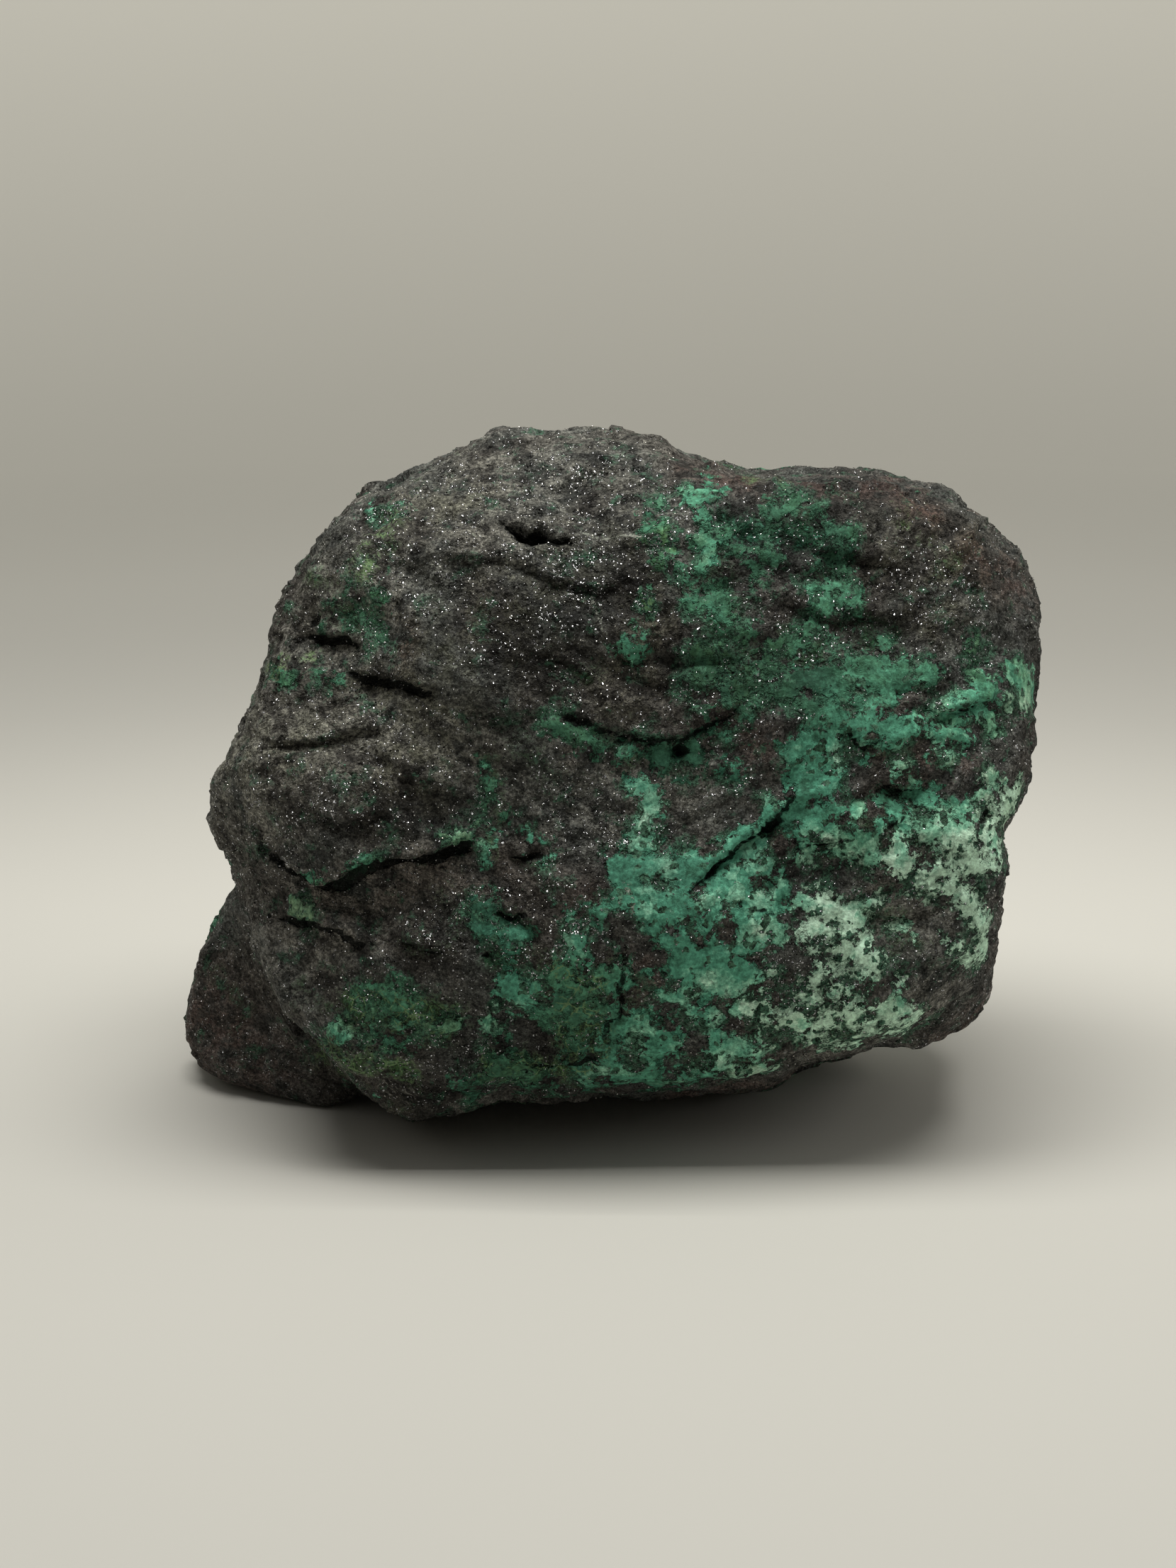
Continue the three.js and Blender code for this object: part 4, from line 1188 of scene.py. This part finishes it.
# ---------------------------------------------------------------------------------------
# The stage. A pale paper sweep all round, lit by one broad soft lamp overhead with a thin
# strip lamp on each side of it and a weak lamp on the right, and the camera.
# ---------------------------------------------------------------------------------------
FLOOR_RADIUS = 1.15
SWEEP_RADIUS = 0.75
WALL_TOP = 1.5
GLOW_NEAR = 0.06
GLOW_LOW = 0.21
GLOW_HIGH = 0.16
GLOW_COLOUR = (1.0, 0.965, 0.83)
PAPER_DIM = (0.60, 0.59, 0.555, 1)
PAPER_BRIGHT = (0.62, 0.61, 0.575, 1)


def sweep_points(rings, turns):
    """A floor that curves up into a wall: a flat disc, a quarter circle and a straight rise,
    turned round the z axis."""
    part = np.linspace(0, 1, rings)
    bend = np.linspace(0, np.pi / 2, rings)
    out = np.concatenate([part * FLOOR_RADIUS, FLOOR_RADIUS + SWEEP_RADIUS * np.sin(bend)])
    up = np.concatenate([np.zeros(rings), SWEEP_RADIUS * (1 - np.cos(bend))])
    out = np.append(out, out[-1])
    up = np.append(up, WALL_TOP)
    angle = np.linspace(0, 2 * np.pi, turns, endpoint=False)
    ring = np.stack([np.cos(angle), np.sin(angle), np.zeros(turns)], axis=1)
    return out[:, None, None] * ring + up[:, None, None] * np.array([0, 0, 1])


sweep = sweep_points(24, 96)
numbers = np.arange(sweep.shape[0] * sweep.shape[1]).reshape(sweep.shape[:2])
numbers = np.concatenate([numbers, numbers[:, :1]], axis=1)
paper = solid_mesh("paper_sweep", sweep.reshape(-1, 3), square_cells(numbers)[:, ::-1].tolist())


def paper_material():
    """Matt warm-white paper with the faintest mottle, painted darker further out and towards the
    front as shade, lit through from behind up the wall.
    """
    material, tree, metres = new_material("paper")
    colour = blend(tree, cloud(tree, metres, 0.5), PAPER_DIM, PAPER_BRIGHT)
    place = put(tree, "ShaderNodeSeparateXYZ", {"Vector": metres})
    out = put(tree, "ShaderNodeVectorMath", {0: metres}, operation="LENGTH").outputs["Value"]
    # painted shade: the paper is painted darker further out and towards the front
    colour = scaled(tree, colour, ease(tree, out, 0.65, 1.4, 1, 0.60))
    colour = scaled(tree, colour, ease(tree, place.outputs["Y"], -0.05, 0.15, 1, 1.19))
    colour = scaled(tree, colour, ease(tree, out, 0.22, 0.42, 1, 0.95))
    glow = plus(
        tree,
        ease(tree, out, 0.35, 0.7, 0, GLOW_NEAR),
        ease(tree, out, 0.5, 1.7, 0, GLOW_LOW),
        ease(tree, place.outputs["Z"], 0, 0.5, 0, GLOW_HIGH),
    )
    glow = times(tree, glow, ease(tree, place.outputs["Y"], -0.4, 0.8))
    shader = put(tree, "ShaderNodeBsdfPrincipled", {
        "Base Color": colour,
        "Roughness": 0.9,
        "Emission Color": scaled(tree, GLOW_COLOUR, glow),
        "Emission Strength": 1.0,
    })
    put(tree, "ShaderNodeOutputMaterial", {"Surface": shader.outputs[0]})
    return material


paper.data.materials.append(paper_material())
paper.data.materials[0].cycles.emission_sampling = "NONE"


LAMP_HEIGHT = 0.60
LAMP_WHITE = (1.0, 0.985, 0.925)
TENT_WHITE = (1.0, 0.985, 0.95, 1)
TENT_LIGHT = 0.15
stone_middle = Vector((0, 0, 0.07))


def lamp(name, power, length, width, place):
    """An oblong area lamp at place, turned to face the middle of the stone."""
    light = bpy.data.lights.new(name, "AREA")
    light.shape = "RECTANGLE"
    light.energy = power
    light.size = length
    light.size_y = width
    light.color = LAMP_WHITE
    made = bpy.data.objects.new(name, light)
    bpy.context.scene.collection.objects.link(made)
    made.location = place
    made.rotation_euler = (made.location - stone_middle).to_track_quat("Z", "Y").to_euler()


lamp("softbox", 2.78, 0.60, 0.20, (0, -0.06, LAMP_HEIGHT))
lamp("front_strip", 0.45, 0.50, 0.012, (0, -0.18, LAMP_HEIGHT))
lamp("back_strip", 0.45, 0.50, 0.012, (0, 0.05, LAMP_HEIGHT))
lamp("side_fill", 0.62, 0.35, 0.30, (0.65, 0.0, 0.30))

world = bpy.data.worlds.new("tent")
bpy.context.scene.world = world
world.use_nodes = True
tent = world.node_tree.nodes["Background"]
tent.inputs["Color"].default_value = TENT_WHITE
tent.inputs["Strength"].default_value = TENT_LIGHT

# The camera stands straight out from the face's centre, where FLARE says, and aims a little
# to the left of it. Places in the face frame, lens in millimetres.
EYE_AIM = np.array([-5.475, -0.9, 0.0])
LENS = 52.08
camera_data = bpy.data.cameras.new("camera")
camera_data.lens = LENS
camera_data.sensor_width = 36
camera_data.clip_start = 0.01
camera = bpy.data.objects.new("camera", camera_data)
bpy.context.scene.collection.objects.link(camera)
camera.location = to_part(np.array([0.0, 0.0, FLARE]))
line_of_sight = camera.location - Vector(to_part(EYE_AIM))
camera.rotation_euler = line_of_sight.to_track_quat("Z", "Y").to_euler()
bpy.context.scene.camera = camera
bpy.context.scene.view_settings.view_transform = "Standard"
